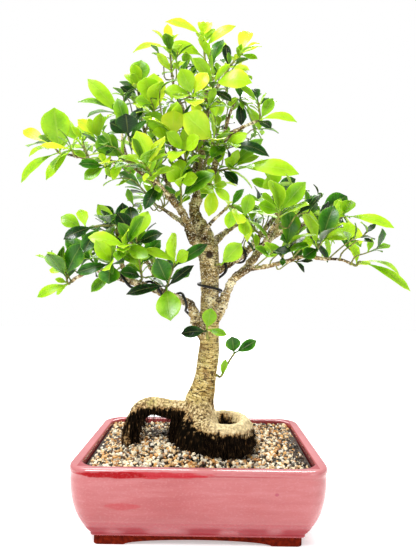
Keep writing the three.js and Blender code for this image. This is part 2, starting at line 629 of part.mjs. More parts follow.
function toMesh( name, body, colour, roughness, metalness = 0 ) {

	const mesh = body.getMesh();
	const geometry = new THREE.BufferGeometry();
	geometry.setAttribute( 'position', new THREE.BufferAttribute( new Float32Array( mesh.vertProperties ), 3 ) );
	geometry.setIndex( new THREE.BufferAttribute( new Uint32Array( mesh.triVerts ), 1 ) );
	geometry.computeVertexNormals();
	const material = new THREE.MeshStandardMaterial( { color: colour, roughness, metalness } );
	const result = new THREE.Mesh( geometry, material );
	result.name = name;
	return result;

}

// A smooth line through a list of points: place 2.5 lies halfway from the third point to the fourth

function blend( a, b, c, d, t ) {

	const curve = 2 * a - 5 * b + 4 * c - d + ( 3 * b - a - 3 * c + d ) * t;
	return 0.5 * ( 2 * b + ( c - a ) * t + curve * t * t );

}

function along( list, place ) {

	const last = list.length - 1;
	const index = Math.min( Math.max( Math.floor( place ), 0 ), last - 1 );
	const t = place - index;
	const near = [ Math.max( index - 1, 0 ), index, index + 1, Math.min( index + 2, last ) ];
	return list[ 0 ].map( ( _, axis ) => blend( ...near.map( ( i ) => list[ i ][ axis ] ), t ) );

}

for ( const limb of Object.values( limbs ) ) {

	limb.points = limb.line.map( ( [ x, y, z, radius ] ) => [ ...seen( x, y, z ).toArray(), radius ] );

}

function onLimb( limb, place ) {

	const [ x, y, z, radius ] = along( limb.points, place );
	const ahead = along( limb.points, place + 0.02 );
	const behind = along( limb.points, place - 0.02 );
	const tangent = V( ...ahead.slice( 0, 3 ) ).sub( V( ...behind.slice( 0, 3 ) ) ).normalize();
	return { centre: V( x, y, z ), tangent, radius };

}

// Wood: every limb is a round, slightly uneven loft, and all of them are joined

function ringAround( centre, tangent, side, radii ) {

	const up = tangent.clone().cross( side );
	return radii.map( ( [ width, height ], i ) => {

		const angle = 2 * Math.PI * i / radii.length;
		return centre.clone()
			.addScaledVector( side, width * Math.cos( angle ) )
			.addScaledVector( up, height * Math.sin( angle ) );

	} );

}

function squareTo( direction, tangent ) {

	return direction.clone().addScaledVector( tangent, - direction.dot( tangent ) ).normalize();

}

function limbSolid( limb, grow ) {

	const last = limb.points.length - 1;
	const rings = [];
	let side = startSide;
	for ( let s = 0; s <= limb.steps; s ++ ) {

		const { centre, tangent, radius } = onLimb( limb, last * s / limb.steps );
		side = squareTo( side, tangent );
		const radii = Array.from( { length: limb.sides }, ( _, i ) => {

			const uneven = 1 + limbSwell * Math.sin( 2.1 * i + 1.3 * s ) + limbRipple * Math.sin( 1.1 * i - 2.3 * s );
			return [ radius * uneven + grow, radius * uneven + grow ];

		} );
		rings.push( ringAround( centre, tangent, side, radii ) );

	}

	return loft( rings );

}

function coilSolid( grow ) {

	const points = [];
	const triangles = [];
	for ( let s = 0; s < coil.steps; s ++ ) {

		const turn = 2 * Math.PI * s / coil.steps;
		const outward = V( Math.cos( turn ), Math.sin( turn ), 0 );
		const centre = coil.centre.clone().addScaledVector( outward, coil.ringRadius );
		centre.z += coil.rise * Math.sin( turn );
		for ( let i = 0; i < coil.sides; i ++ ) {

			const angle = 2 * Math.PI * i / coil.sides;
			const uneven = 1 + 0.04 * Math.sin( 3 * turn + 2.1 * i );
			const width = coil.halfWidth * uneven + grow;
			const height = coil.halfHeight * uneven + grow;
			points.push( centre.clone()
				.addScaledVector( outward, width * Math.cos( angle ) )
				.add( V( 0, 0, height * Math.sin( angle ) ) ) );
			const a = s * coil.sides + i;
			const b = s * coil.sides + ( i + 1 ) % coil.sides;
			const c = ( ( s + 1 ) % coil.steps ) * coil.sides + ( i + 1 ) % coil.sides;
			const d = ( ( s + 1 ) % coil.steps ) * coil.sides + i;
			triangles.push( [ a, b, c ], [ a, c, d ] );

		}

	}

	if ( signedVolume( points, triangles ) < 0 ) triangles.forEach( ( t ) => t.reverse() );
	return solid( points, triangles );

}

function woodSolid( grow, names = Object.keys( limbs ) ) {

	return names.map( ( name ) => limbSolid( limbs[ name ], grow ) )
		.reduce( ( joined, part ) => joined.add( part ), coilSolid( grow ) );

}

// Pot: rounded rectangles at each height make the outside and the hollow

function potRing( inset, z ) {

	const radius = Math.max( cornerRadius - inset, tightestCorner );
	const x = potLength / 2 - inset - radius;
	const y = potDepth / 2 - inset - radius;
	const ring = [];
	for ( const [ sx, sy, quarter ] of [ [ 1, 1, 0 ], [ - 1, 1, 1 ], [ - 1, - 1, 2 ], [ 1, - 1, 3 ] ] ) {

		for ( let i = 0; i < cornerSteps; i ++ ) {

			const angle = Math.PI / 2 * ( quarter + i / ( cornerSteps - 1 ) );
			ring.push( V( sx * x + radius * Math.cos( angle ), sy * y + radius * Math.sin( angle ), z ) );

		}

	}

	return ring;

}

// A low arch cut through the foot ring, so that water runs out from under the pot

function footArch( length, reach ) {

	const shape = new THREE.Shape();
	shape.moveTo( - length / 2, - 1 );
	for ( let i = 0; i <= archSteps; i ++ ) {

		const share = i / archSteps;
		shape.lineTo( length * ( share - 0.5 ), footArchHeight * Math.sin( Math.PI * share ) ** archFullness );

	}

	shape.lineTo( length / 2, - 1 );
	const arch = new THREE.ExtrudeGeometry( shape, { depth: reach, bevelEnabled: false } );
	arch.translate( 0, 0, - reach / 2 );
	arch.rotateX( Math.PI / 2 );
	return arch;

}

function potSolid() {

	const outside = [ potRing( footInset, 0 ), ...potProfile.map( ( [ inset, z ] ) => potRing( inset, z ) ) ];
	const hollow = hollowProfile.map( ( [ inset, z ] ) => potRing( inset, z ) );
	const recess = [ potRing( footInset + footWidth, - 1 ), potRing( footInset + footWidth, footHeight - 3 ) ];
	const archLong = fromGeometry( footArch( footArchLong, potDepth ) );
	const archShort = fromGeometry( footArch( footArchShort, potLength ).rotateZ( Math.PI / 2 ) );
	let body = loft( outside ).subtract( loft( hollow ) ).subtract( loft( recess ) );
	body = body.subtract( archLong ).subtract( archShort );
	for ( const side of [ - 1, 1 ] ) {

		const drain = new THREE.CylinderGeometry( drainRadius, drainRadius, 3 * floorTop, drainSides );
		drain.rotateX( Math.PI / 2 );
		drain.translate( side * drainSpacing / 2, 0, floorTop / 2 );
		body = body.subtract( fromGeometry( drain ) );

	}

	return body;

}

// Drainage screen: a strip of mesh that lies on the pot's floor over both of its holes

function screenSolid() {

	const length = drainSpacing + screenWidth;
	const level = floorTop + gap + screenThickness / 2;
	const plate = new THREE.BoxGeometry( length, screenWidth, screenThickness );
	plate.translate( 0, 0, level );
	let screen = fromGeometry( plate );
	for ( const side of [ - 1, 1 ] ) {

		for ( const x of [ - 1, 1 ] ) {

			for ( const y of [ - 1, 1 ] ) {

				const hole = new THREE.BoxGeometry( screenOpening, screenOpening, 3 * screenThickness );
				hole.translate( side * drainSpacing / 2 + x * screenOpening, y * screenOpening, level );
				screen = screen.subtract( fromGeometry( hole ) );

			}

		}

	}

	return screen;

}

// Gravel: fills the pot, heaped towards the tree, with grains as relief on top

function hash( a, b ) {

	const value = Math.sin( a * 127.1 + b * 311.7 ) * 43758.5453;
	return value - Math.floor( value );

}

function gravelRing( inset, z ) {

	const fine = [];
	const corners = potRing( inset, z );
	const lengths = corners.map( ( p, i ) => p.distanceTo( corners[ ( i + 1 ) % corners.length ] ) );
	const total = lengths.reduce( ( sum, length ) => sum + length, 0 );
	for ( let i = 0; i < gravelPoints; i ++ ) {

		let rest = total * i / gravelPoints;
		let edge = 0;
		while ( rest > lengths[ edge ] && edge < corners.length - 1 ) rest -= lengths[ edge ++ ];
		const next = corners[ ( edge + 1 ) % corners.length ];
		fine.push( corners[ edge ].clone().lerp( next, rest / lengths[ edge ] ) );

	}

	return fine;

}

function gravelSolid() {

	const rings = [
		gravelRing( footInset + 9, floorTop + 2 * gap + 1.2 ),
		gravelRing( wallThickness + 8, floorTop + 18 ),
		gravelRing( wallThickness + 2, potHeight - 13 )
	];
	for ( let r = 0; r < gravelRings; r ++ ) {

		const shrink = 1 - r / gravelRings;
		const ring = gravelRing( rimWidth + 2 * gap, 0 ).map( ( p, i ) => {

			const offCentre = Math.hypot( p.x * shrink / heapLength, p.y * shrink / heapDepth );
			const heap = gravelMound * Math.max( 0, 1 - offCentre );
			const grain = grainHeight * ( hash( i, r ) - 0.5 ) * ( r === 0 ? grainAtEdge : 1 );
			return V( p.x * shrink, p.y * shrink, gravelEdge + heap + grain );

		} );
		rings.push( ring );

	}

	rings.push( [ V( 0, 0, gravelEdge + gravelMound ) ] );
	const rootNames = Object.keys( limbs ).filter( ( name ) => name.startsWith( 'root' ) );
	return loft( rings ).subtract( woodSolid( rootHoleGap, [ 'trunk', ...rootNames ] ) );

}

// Training wire: one length, coiled along the low left branch, round the trunk and up the right

function wireTurns( { limb, from, to, fromAngle, toAngle, count } ) {

	return Array.from( { length: count }, ( _, i ) => {

		const share = i / ( count - 1 );
		const { centre, tangent, radius } = onLimb( limbs[ limb ], from + ( to - from ) * share );
		const front = squareTo( V( 0, - 1, 0 ), tangent );
		const side = tangent.clone().cross( front );
		const angle = THREE.MathUtils.degToRad( fromAngle + ( toAngle - fromAngle ) * share );
		const distance = radius * wireOversize + wireGap + wireRadius;
		return centre
			.addScaledVector( front, distance * Math.cos( angle ) )
			.addScaledVector( side, distance * Math.sin( angle ) );

	} );

}

const wirePoints = wireRoute.flatMap( wireTurns );
const wireLine = new THREE.CatmullRomCurve3( wirePoints );

function wireSolid() {

	const section = new THREE.Shape();
	for ( let i = 0; i < wireSides; i ++ ) {

		const angle = 2 * Math.PI * i / wireSides;
		section[ i === 0 ? 'moveTo' : 'lineTo' ]( wireRadius * Math.cos( angle ), wireRadius * Math.sin( angle ) );

	}

	const tube = new THREE.ExtrudeGeometry( section, {
		steps: wireSteps,
		bevelEnabled: false,
		extrudePath: wireLine
	} );
	return fromGeometry( tube );

}

// Leaves: a blade lies over the straight line from its root on the twig to its tip.
// It rises by "bow" in the middle and folds up along the midrib.

function makeLeaf( root, tip, width, faceTo, bow, fold ) {

	const length = root.distanceTo( tip );
	const ahead = tip.clone().sub( root ).normalize();
	const normal = squareTo( faceTo, ahead );
	const across = normal.clone().cross( ahead );
	return { root, tip, length, width, ahead, normal, across, bow, fold };

}

function halfWidth( leaf, t ) {

	if ( t <= petioleShare ) return petioleRadius;
	const share = ( t - petioleShare ) / ( 1 - petioleShare );
	const blade = leaf.width / 2 * Math.sin( Math.PI * share ** widestShift ) ** bladeFullness;
	return Math.max( petioleRadius * ( 1 - share ), blade );

}

function lift( leaf, t, v ) {

	return leaf.bow * leaf.length * 4 * t * ( 1 - t ) + leaf.fold * Math.abs( v );

}

function leafPoint( leaf, t, v, offset = 0 ) {

	return leaf.root.clone()
		.addScaledVector( leaf.ahead, leaf.length * t )
		.addScaledVector( leaf.across, v )
		.addScaledVector( leaf.normal, lift( leaf, t, v ) + offset );

}

function leafSolid( leaf ) {

	const large = leaf.length > largeLength || leaf.width > largeWidth;
	const stations = large ? largeStations : smallStations;
	const rings = stations.map( ( t ) => {

		const half = halfWidth( leaf, t );
		return [
			leafPoint( leaf, t, - half ),
			leafPoint( leaf, t, 0, bladeThickness / 2 ),
			leafPoint( leaf, t, half ),
			leafPoint( leaf, t, 0, - bladeThickness / 2 )
		];

	} );
	return loft( [ [ leaf.root ], ...rings, [ leaf.tip ] ], true );

}

// A point is near a blade when it lies over or under it within the clearance

function nearLeaf( point, leaf, clearance ) {

	const from = point.clone().sub( leaf.root );
	const t = from.dot( leaf.ahead ) / leaf.length;
	if ( t < - clearance / leaf.length || t > 1 + clearance / leaf.length ) return false;
	const inside = Math.min( Math.max( t, 0 ), 1 );
	const v = from.dot( leaf.across );
	if ( Math.abs( v ) > halfWidth( leaf, inside ) + clearance ) return false;
	return Math.abs( from.dot( leaf.normal ) - lift( leaf, inside, v ) ) < clearance;

}

function leafSamples( leaf ) {

	const samples = [];
	for ( let i = 0; i <= 6; i ++ ) {

		const t = i / 6;
		const half = halfWidth( leaf, t );
		for ( const share of [ - 1, - 0.5, 0, 0.5, 1 ] ) samples.push( leafPoint( leaf, t, half * share ) );

	}

	return samples;

}

// Twigs: each leaves its limb squarely, or runs on from the limb's end, and then turns to its own end

function makeTwig( shoot ) {

	const limb = limbs[ shoot.on ];
	const { centre, tangent, radius } = onLimb( limb, shoot.at );
	const end = seen( ...shoot.end );
	const atEnd = shoot.at === limb.points.length - 1;
	const out = atEnd ? tangent : squareTo( end.clone().sub( centre ), tangent );
	const clear = atEnd ? gap : radius * limbOversize + gap;
	const start = centre.clone().addScaledVector( out, clear );
	const second = centre.clone().addScaledVector( out, clear + twigStub );
	const middle = second.clone().lerp( end, twigBendShare ).add( V( 0, 0, twigBendRise ) );
	return [ start, second, middle, end ].map( ( p ) => p.toArray() );

}

function twigPoint( twig, share ) {

	return V( ...along( twig, share * 3 ) );

}

function twigSolid( twig ) {

	const rings = [];
	let side = startSide;
	for ( let s = 0; s <= twigSteps; s ++ ) {

		const share = s / twigSteps;
		const tangent = twigPoint( twig, share + 0.02 ).sub( twigPoint( twig, share - 0.02 ) ).normalize();
		side = squareTo( side, tangent );
		const radius = twigRadius * ( 1 - twigTaper * share );
		const radii = Array( twigSides ).fill( [ radius, radius ] );
		rings.push( ringAround( twigPoint( twig, share ), tangent, side, radii ) );

	}

	return loft( rings );

}

// Placing: the listed leaves come first, and then the growth rule adds more round each twig.
// A leaf that would touch another shoot, the wood or the wire is turned, or left off.

function seededRandom( seed ) {

	let state = seed;
	return () => {

		state = ( state + 0x6D2B79F5 ) | 0;
		let value = Math.imul( state ^ ( state >>> 15 ), 1 | state );
		value = ( value + Math.imul( value ^ ( value >>> 7 ), 61 | value ) ) ^ value;
		return ( ( value ^ ( value >>> 14 ) ) >>> 0 ) / 4294967296;

	};

}

const obstacles = [];

for ( const limb of Object.values( limbs ) ) {

	const last = limb.points.length - 1;
	for ( let s = 0; s <= last * 4; s ++ ) {

		const { centre, radius } = onLimb( limb, s / 4 );
		obstacles.push( { point: centre, radius } );

	}

}

for ( const point of wirePoints ) obstacles.push( { point, radius: wireRadius } );

for ( const shoot of shoots ) {

	shoot.twig = makeTwig( shoot );
	for ( let s = 0; s <= 8; s ++ ) {

		obstacles.push( { point: twigPoint( shoot.twig, s / 8 ), radius: twigRadius, shoot } );

	}

	shoot.placed = shoot.leaves.map( ( [ x, y, z, share, width, lean, bow ] ) => {

		const root = twigPoint( shoot.twig, Math.min( share, lastRoot ) );
		return makeLeaf( root, seen( x, y, z ), width, V( 0, - lean, 1.05 - lean ), bow, foldOfListed );

	} );

}

function isClear( leaf, shoot ) {

	const samples = leafSamples( leaf );
	for ( const { point, radius, shoot: owner } of obstacles ) {

		if ( owner !== shoot && nearLeaf( point, leaf, radius + woodClearance ) ) return false;

	}

	for ( const other of shoots ) {

		const clearance = other === shoot ? siblingClearance : bladeClearance;
		for ( const placed of other.placed ) {

			if ( placed.root.distanceTo( leaf.root ) > placed.length + leaf.length + 2 * clearance ) continue;
			const startsTogether = other === shoot ? samplesNearRoot : 0;
			if ( samples.slice( startsTogether ).some( ( p ) => nearLeaf( p, placed, clearance ) ) ) return false;
			const back = leafSamples( placed ).slice( startsTogether );
			if ( back.some( ( p ) => nearLeaf( p, leaf, clearance ) ) ) return false;

		}

	}

	return true;

}

shoots.forEach( ( shoot, number ) => {

	const random = seededRandom( 7 + 31 * number );
	let turn = 2 * Math.PI * random();
	for ( let i = 0; i < shoot.more; i ++ ) {

		const share = Math.min( firstShare + ( 1 - firstShare ) * ( i + 1 ) / shoot.more, lastRoot );
		const root = twigPoint( shoot.twig, share );
		const behind = twigPoint( shoot.twig, share - 0.03 );
		const tangent = twigPoint( shoot.twig, share + 0.03 ).sub( behind ).normalize();
		const side = squareTo( startSide, tangent );
		const up = tangent.clone().cross( side );
		const length = ( shortestLeaf + leafSpread * random() ) * ( longestAtBase - shorterAtTip * share );
		const width = length * ( slimmestLeaf + slimSpread * random() );
		const bow = leastBow + bowSpread * random();
		const outward = root.clone().sub( canopyHeart ).normalize();
		const faceTo = V( 0, - facesViewer * random(), 1 ).addScaledVector( outward, facesOutward * random() );
		turn += turnBetweenLeaves;
		for ( const shift of triedShifts ) {

			const radial = side.clone().multiplyScalar( Math.cos( turn + shift ) )
				.addScaledVector( up, Math.sin( turn + shift ) );
			const direction = tangent.clone().multiplyScalar( forward + forwardAtTip * share )
				.addScaledVector( radial, sideways - sidewaysLossAtTip * share )
				.add( V( 0, 0, upward ) )
				.normalize();
			const tip = root.clone().addScaledVector( direction, length );
			const leaf = makeLeaf( root, tip, width, faceTo, bow, foldOfGrown );
			if ( isClear( leaf, shoot ) ) {

				shoot.placed.push( leaf );
				break;

			}

		}

	}

} );

function shootSolid( shoot ) {

	return shoot.placed.map( leafSolid )
		.reduce( ( joined, leaf ) => joined.add( leaf ), twigSolid( shoot.twig ) );

}

// Assembly

const glaze = 0xd9808a;
const blackPlastic = 0x262626;
const gravelBuff = 0xd8b98c;
const bark = 0xc8b485;
const blackWire = 0x111111;
const leafGreen = 0x6fbf1a;

const bonsai = new THREE.Group();
bonsai.add( toMesh( 'pot', potSolid(), glaze, 0.18 ) );
bonsai.add( toMesh( 'drain_screen', screenSolid(), blackPlastic, 0.6 ) );
bonsai.add( toMesh( 'gravel', gravelSolid(), gravelBuff, 0.9 ) );
bonsai.add( toMesh( 'wood', woodSolid( 0 ), bark, 0.8 ) );
bonsai.add( toMesh( 'training_wire', wireSolid(), blackWire, 0.45 ) );
for ( const shoot of shoots ) {

	bonsai.add( toMesh( `shoot_${ shoot.name }`, shootSolid( shoot ), leafGreen, 0.4 ) );

}

export default bonsai;
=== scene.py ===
# Tiger bark ficus bonsai, growing over gravel in a glazed pot with rounded corners.
import math

import bpy
import numpy as np
from mathutils import Matrix, Vector, kdtree, noise


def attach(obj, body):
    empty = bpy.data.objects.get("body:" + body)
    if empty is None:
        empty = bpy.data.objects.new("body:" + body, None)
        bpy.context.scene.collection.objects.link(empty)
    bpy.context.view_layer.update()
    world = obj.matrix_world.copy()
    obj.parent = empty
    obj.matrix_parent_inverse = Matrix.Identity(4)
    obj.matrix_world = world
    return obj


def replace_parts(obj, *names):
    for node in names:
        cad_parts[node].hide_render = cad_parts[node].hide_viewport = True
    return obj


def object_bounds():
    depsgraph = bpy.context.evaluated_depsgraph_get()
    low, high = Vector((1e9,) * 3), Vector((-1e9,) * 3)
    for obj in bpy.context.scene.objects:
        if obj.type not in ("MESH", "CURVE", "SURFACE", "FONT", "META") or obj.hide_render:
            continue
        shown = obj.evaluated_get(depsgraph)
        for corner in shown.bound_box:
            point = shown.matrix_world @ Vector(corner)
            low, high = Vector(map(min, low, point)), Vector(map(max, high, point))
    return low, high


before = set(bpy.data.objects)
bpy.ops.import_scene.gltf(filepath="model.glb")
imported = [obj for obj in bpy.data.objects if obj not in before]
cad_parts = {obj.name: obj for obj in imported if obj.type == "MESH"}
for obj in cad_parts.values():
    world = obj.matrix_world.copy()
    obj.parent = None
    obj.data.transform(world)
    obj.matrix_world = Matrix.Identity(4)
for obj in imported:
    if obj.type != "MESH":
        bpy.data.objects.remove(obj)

cad_box = [list(corner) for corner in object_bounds()]

# Camera: level with the lowest branch and close to the tree, looking slightly up.
# The photograph's frame is 416 x 555, and it leans a little to one side.
camera_place = (0.0067, -0.560, 0.2485)
camera_tilt = 92.36
camera_lean = 0.8
bpy.ops.object.select_all(action="DESELECT")
bpy.ops.object.camera_add()
camera = bpy.context.object
camera.name = "front_camera"
camera.matrix_world = (
    Matrix.Translation(camera_place)
    @ Matrix.Rotation(math.radians(camera_tilt), 4, "X")
    @ Matrix.Rotation(math.radians(camera_lean), 4, "Z")
)
camera.data.sensor_fit = "HORIZONTAL"
camera.data.sensor_width = 36
camera.data.lens = 40.85
camera.data.clip_start = 0.01
bpy.context.scene.camera = camera

# Studio: a white floor and a white surround, so that the tree stands clear of everything, with large
# soft lamps high on the left, low on the right, behind the crown and over the floor behind.
floor_glow = 0.42
surround_light = 0.44


def connect(node, inputs):
    """Links each of a node's inputs to a socket, or sets it to a value."""
    for key, value in inputs.items():
        if isinstance(value, bpy.types.NodeSocket):
            node.id_data.links.new(value, node.inputs[key])
        else:
            node.inputs[key].default_value = value


def add_node(tree, kind, inputs=None, **settings):
    """A new node with its settings and its inputs."""
    node = tree.nodes.new("ShaderNode" + kind)
    for key, value in settings.items():
        setattr(node, key, value)
    connect(node, inputs or {})
    return node


def add_lamp(name, place, aim, size, power):
    """A round soft lamp that points at its aim."""
    bpy.ops.object.light_add(type="AREA", location=place)
    lamp = bpy.context.object
    lamp.name = name
    lamp.data.shape = "DISK"
    lamp.data.size = size
    lamp.data.energy = power
    lamp.rotation_euler = (Vector(aim) - Vector(place)).to_track_quat("-Z", "Y").to_euler()


bpy.context.scene.view_settings.view_transform = "Standard"
bpy.ops.mesh.primitive_plane_add(size=6, location=(0, 0, 0))
floor = bpy.context.object
floor.name = "studio_floor"
floor_paint = bpy.data.materials.new("floor_paint")
floor_paint.use_nodes = True
floor_finish = {
    "Base Color": (0.93, 0.93, 0.93, 1),
    "Roughness": 0.9,
    "Emission Color": (1, 1, 1, 1),
    "Emission Strength": floor_glow,
}
connect(floor_paint.node_tree.nodes["Principled BSDF"], floor_finish)
floor.data.materials.append(floor_paint)
surround = bpy.data.worlds.new("white_surround")
bpy.context.scene.world = surround
surround.use_nodes = True
tree = surround.node_tree
white = tree.nodes["Background"]
connect(white, {"Color": (1, 1, 1, 1)})
soft = add_node(tree, "Background", {"Color": (0.97, 0.98, 1, 1), "Strength": surround_light})
in_view = add_node(tree, "LightPath").outputs["Is Camera Ray"]
choice = add_node(tree, "MixShader", {"Fac": in_view, 1: soft.outputs[0], 2: white.outputs[0]})
connect(tree.nodes["World Output"], {"Surface": choice.outputs[0]})
add_lamp("key_lamp", (-0.7, -1.0, 1.7), (0, 0, 0.3), 0.6, 36)
add_lamp("fill_lamp", (1.2, -1.3, 0.6), (0, 0, 0.25), 0.9, 5)
add_lamp("crown_lamp", (0.3, 1.0, 1.5), (0, 0, 0.4), 0.8, 14)
add_lamp("floor_lamp", (0, 2.2, 2.2), (0, 2.2, 0), 2.5, 110)

# Pot: stoneware, pressed in a mould and dipped in pink glaze, which runs thin on the rim; a lighter pink
# there is also a painted highlight. A rolled rim, a belly that curves in to a small bead, and a bare foot
# with low arches and two drain holes.
# Its profiles are lists of (inset from the outside of the rim, height) in millimetres.
pot_length = 0.258
pot_depth = 0.203
corner_radius = 0.024
wall_profile = [(0.3, 65), (0.3, 70), (0.5, 74), (0.4, 74.9)]
rim_profile = [(0.1, 76), (0, 77.2), (0, 79.2), (0.4, 80.6), (1.2, 81.6), (2.4, 82)]
hollow_profile = [
    (9.2, 82), (10.2, 81.6), (10.8, 80.8), (11, 79.6), (11, 74), (10, 71), (9, 66), (10, 45), (20, 24),
    (32, 17)
]
belly_profile = [
    (0.3, 65), (0.9, 58), (1.6, 52), (2.8, 46), (4.4, 40.5), (6.1, 35.8), (8.2, 31), (10.6, 26.7),
    (13.4, 22.5), (15.9, 18.9), (18.6, 15.5)
]
foot_profile = [
    (18.6, 15.5), (20.2, 13.6), (21, 12.4), (21, 11.4), (21, 10.4), (21.6, 9.9), (24, 9.5), (24, 4),
    (24, 0.4), (24.4, 0), (36.6, 0), (37, 0.4), (37, 6.5)
]
quarter_turn = math.pi / 2
cutters = {
    "long_arches": ((0, 0, 0), (quarter_turn, 0, 0), (0.074, 0.0054, 0.3)),
    "short_arches": ((0, 0, 0), (quarter_turn, 0, quarter_turn), (0.035, 0.003, 0.4)),
    "left_drain": ((-0.048, 0, 0.01), (0, 0, 0), (0.008, 0.008, 0.05)),
    "right_drain": ((0.048, 0, 0.01), (0, 0, 0), (0.008, 0.008, 0.05)),
}


def rounded_sheet(name, inset, height, corner, steps):
    """A flat sheet with rounded corners inside the rim, left in edit mode with all of it selected."""
    bpy.ops.object.select_all(action="DESELECT")
    bpy.ops.mesh.primitive_plane_add(size=1, location=(0, 0, height))
    sheet = bpy.context.object
    sheet.name = name
    sheet.scale = (pot_length - 2 * inset, pot_depth - 2 * inset, 1)
    bpy.ops.object.transform_apply(location=True, rotation=True, scale=True)
    bpy.ops.object.mode_set(mode="EDIT")
    bpy.ops.mesh.select_mode(type="FACE")
    bpy.ops.mesh.select_all(action="SELECT")
    bpy.ops.mesh.bevel(offset=corner, segments=steps, affect="VERTICES")
    bpy.ops.mesh.select_all(action="SELECT")
    return sheet


def pick_faces(piece, wanted):
    """In edit mode, selects the faces that fit, and nothing else."""
    bpy.ops.mesh.select_all(action="DESELECT")
    bpy.ops.object.mode_set(mode="OBJECT")
    for face in piece.data.polygons:
        face.select = wanted(face)
    bpy.ops.object.mode_set(mode="EDIT")


def pull_rings(profile):
    """Extrudes the selected face through a profile, from its first point."""
    for (inset, height), (next_inset, next_height) in zip(profile, profile[1:]):
        bpy.ops.mesh.extrude_region_move(
            TRANSFORM_OT_translate={"value": (0, 0, (next_height - height) / 1000)}
        )
        grow_x, grow_y = (
            (size / 2 - next_inset / 1000) / (size / 2 - inset / 1000) for size in (pot_length, pot_depth)
        )
        bpy.ops.transform.resize(value=(grow_x, grow_y, 1), center_override=(0, 0, next_height / 1000))


def select_only(piece):
    """Makes a piece the only one that operators act on."""
    bpy.ops.object.select_all(action="DESELECT")
    piece.select_set(True)
    bpy.context.view_layer.objects.active = piece


def apply_modifier(piece, kind, **settings):
    """Gives the active piece a modifier with its settings, and applies it."""
    modifier = piece.modifiers.new(kind.lower(), kind)
    for key, value in settings.items():
        setattr(modifier, key, value)
    bpy.ops.object.modifier_apply(modifier=modifier.name)


pot = rounded_sheet("glazed_pot", 0.0003, 0.065, corner_radius, 14)
pull_rings(wall_profile + rim_profile + hollow_profile)
pick_faces(pot, lambda face: abs(face.center.z - 0.065) < 0.0001 and face.area > 0.03)
for (inset, height), (next_inset, next_height) in zip(belly_profile, belly_profile[1:]):
    bpy.ops.mesh.inset(
        thickness=(next_inset - inset) / 1000, depth=(height - next_height) / 1000, use_even_offset=True
    )
pull_rings(foot_profile)
bpy.ops.mesh.select_all(action="SELECT")
bpy.ops.mesh.remove_doubles(threshold=0.00002)
bpy.ops.mesh.normals_make_consistent(inside=False)
bpy.ops.object.mode_set(mode="OBJECT")
for place, turn, stretch in cutters.values():
    bpy.ops.object.select_all(action="DESELECT")
    bpy.ops.mesh.primitive_cylinder_add(vertices=64, radius=1, depth=1, location=place, rotation=turn)
    cutter = bpy.context.object
    cutter.scale = stretch
    bpy.ops.object.transform_apply(location=True, rotation=True, scale=True)
    select_only(pot)
    apply_modifier(pot, "BOOLEAN", operation="DIFFERENCE", object=cutter, solver="EXACT")
    bpy.data.objects.remove(cutter)
bpy.ops.object.shade_smooth_by_angle(angle=math.radians(40))


def start_material(name):
    """A new material with its shader and its Object coordinates."""
    material = bpy.data.materials.new(name)
    material.use_nodes = True
    place = add_node(material.node_tree, "TexCoord").outputs["Object"]
    return material, material.node_tree.nodes["Principled BSDF"], place


def parts_of(vector):
    """The X, Y and Z of a vector."""
    return add_node(vector.id_data, "SeparateXYZ", {"Vector": vector}).outputs


def cloud(place, scale, detail=4, stretch=(1, 1, 1)):
    """Soft noise, with features of about 1 / scale metres, drawn out along an axis by stretch."""
    tree = place.id_data
    if stretch != (1, 1, 1):
        place = add_node(tree, "Mapping", {"Vector": place, "Scale": stretch}).outputs["Vector"]
    return add_node(tree, "TexNoise", {"Vector": place, "Scale": scale, "Detail": detail}).outputs["Fac"]


def between(value, low, high, at_low=0, at_high=1):
    """Turns the range low to high of a value into at_low to at_high, smoothly and clamped."""
    inputs = {"Value": value, "From Min": low, "From Max": high, "To Min": at_low, "To Max": at_high}
    return add_node(value.id_data, "MapRange", inputs, interpolation_type="SMOOTHSTEP").outputs["Result"]


def colours(value, *stops):
    """A colour ramp through (position, red, green, blue)."""
    node = add_node(value.id_data, "ValToRGB", {"Fac": value})
    ramp = node.color_ramp
    while len(ramp.elements) < len(stops):
        ramp.elements.new(0.5)
    for element, (position, *colour) in zip(ramp.elements, stops):
        element.position = position
        element.color = (*colour, 1)
    return node.outputs["Color"]


def over(mask, under, cover):
    """Cover, a plain colour or a socket, laid over the colour under it as much as the mask says."""
    if not isinstance(cover, bpy.types.NodeSocket):
        cover = (*cover, 1)
    return add_node(under.id_data, "Mix", {"Factor": mask, 6: under, 7: cover}, data_type="RGBA").outputs[2]


def maths(operation, *values):
    """Values joined by an operation. The first of them is a socket."""
    inputs = dict(enumerate(values))
    return add_node(values[0].id_data, "Math", inputs, operation=operation).outputs["Value"]


def times(a, b):
    return maths("MULTIPLY", a, b)


def plus(a, b):
    return maths("ADD", a, b)


def minus(a, b):
    return maths("SUBTRACT", a, b)


def patch(place, centre, half_size, ragged, soft=0.6):
    """A mask of 1 at the centre of a patch, which falls to 0 round its half size over a soft edge."""
    tree = place.id_data
    moved = add_node(tree, "VectorMath", {0: place, 1: centre}, operation="SUBTRACT").outputs["Vector"]
    scaled = add_node(tree, "VectorMath", {0: moved, 1: half_size}, operation="DIVIDE").outputs["Vector"]
    far = add_node(tree, "VectorMath", {0: scaled}, operation="LENGTH").outputs["Value"]
    return between(plus(far, ragged), 1.5, 1.5 - soft)


def bumps(height, depth, strength=1):
    """Relief from a value. Depth is its height in metres from the lowest to the highest."""
    inputs = {"Height": height, "Distance": depth, "Strength": strength}
    return add_node(height.id_data, "Bump", inputs).outputs["Normal"]


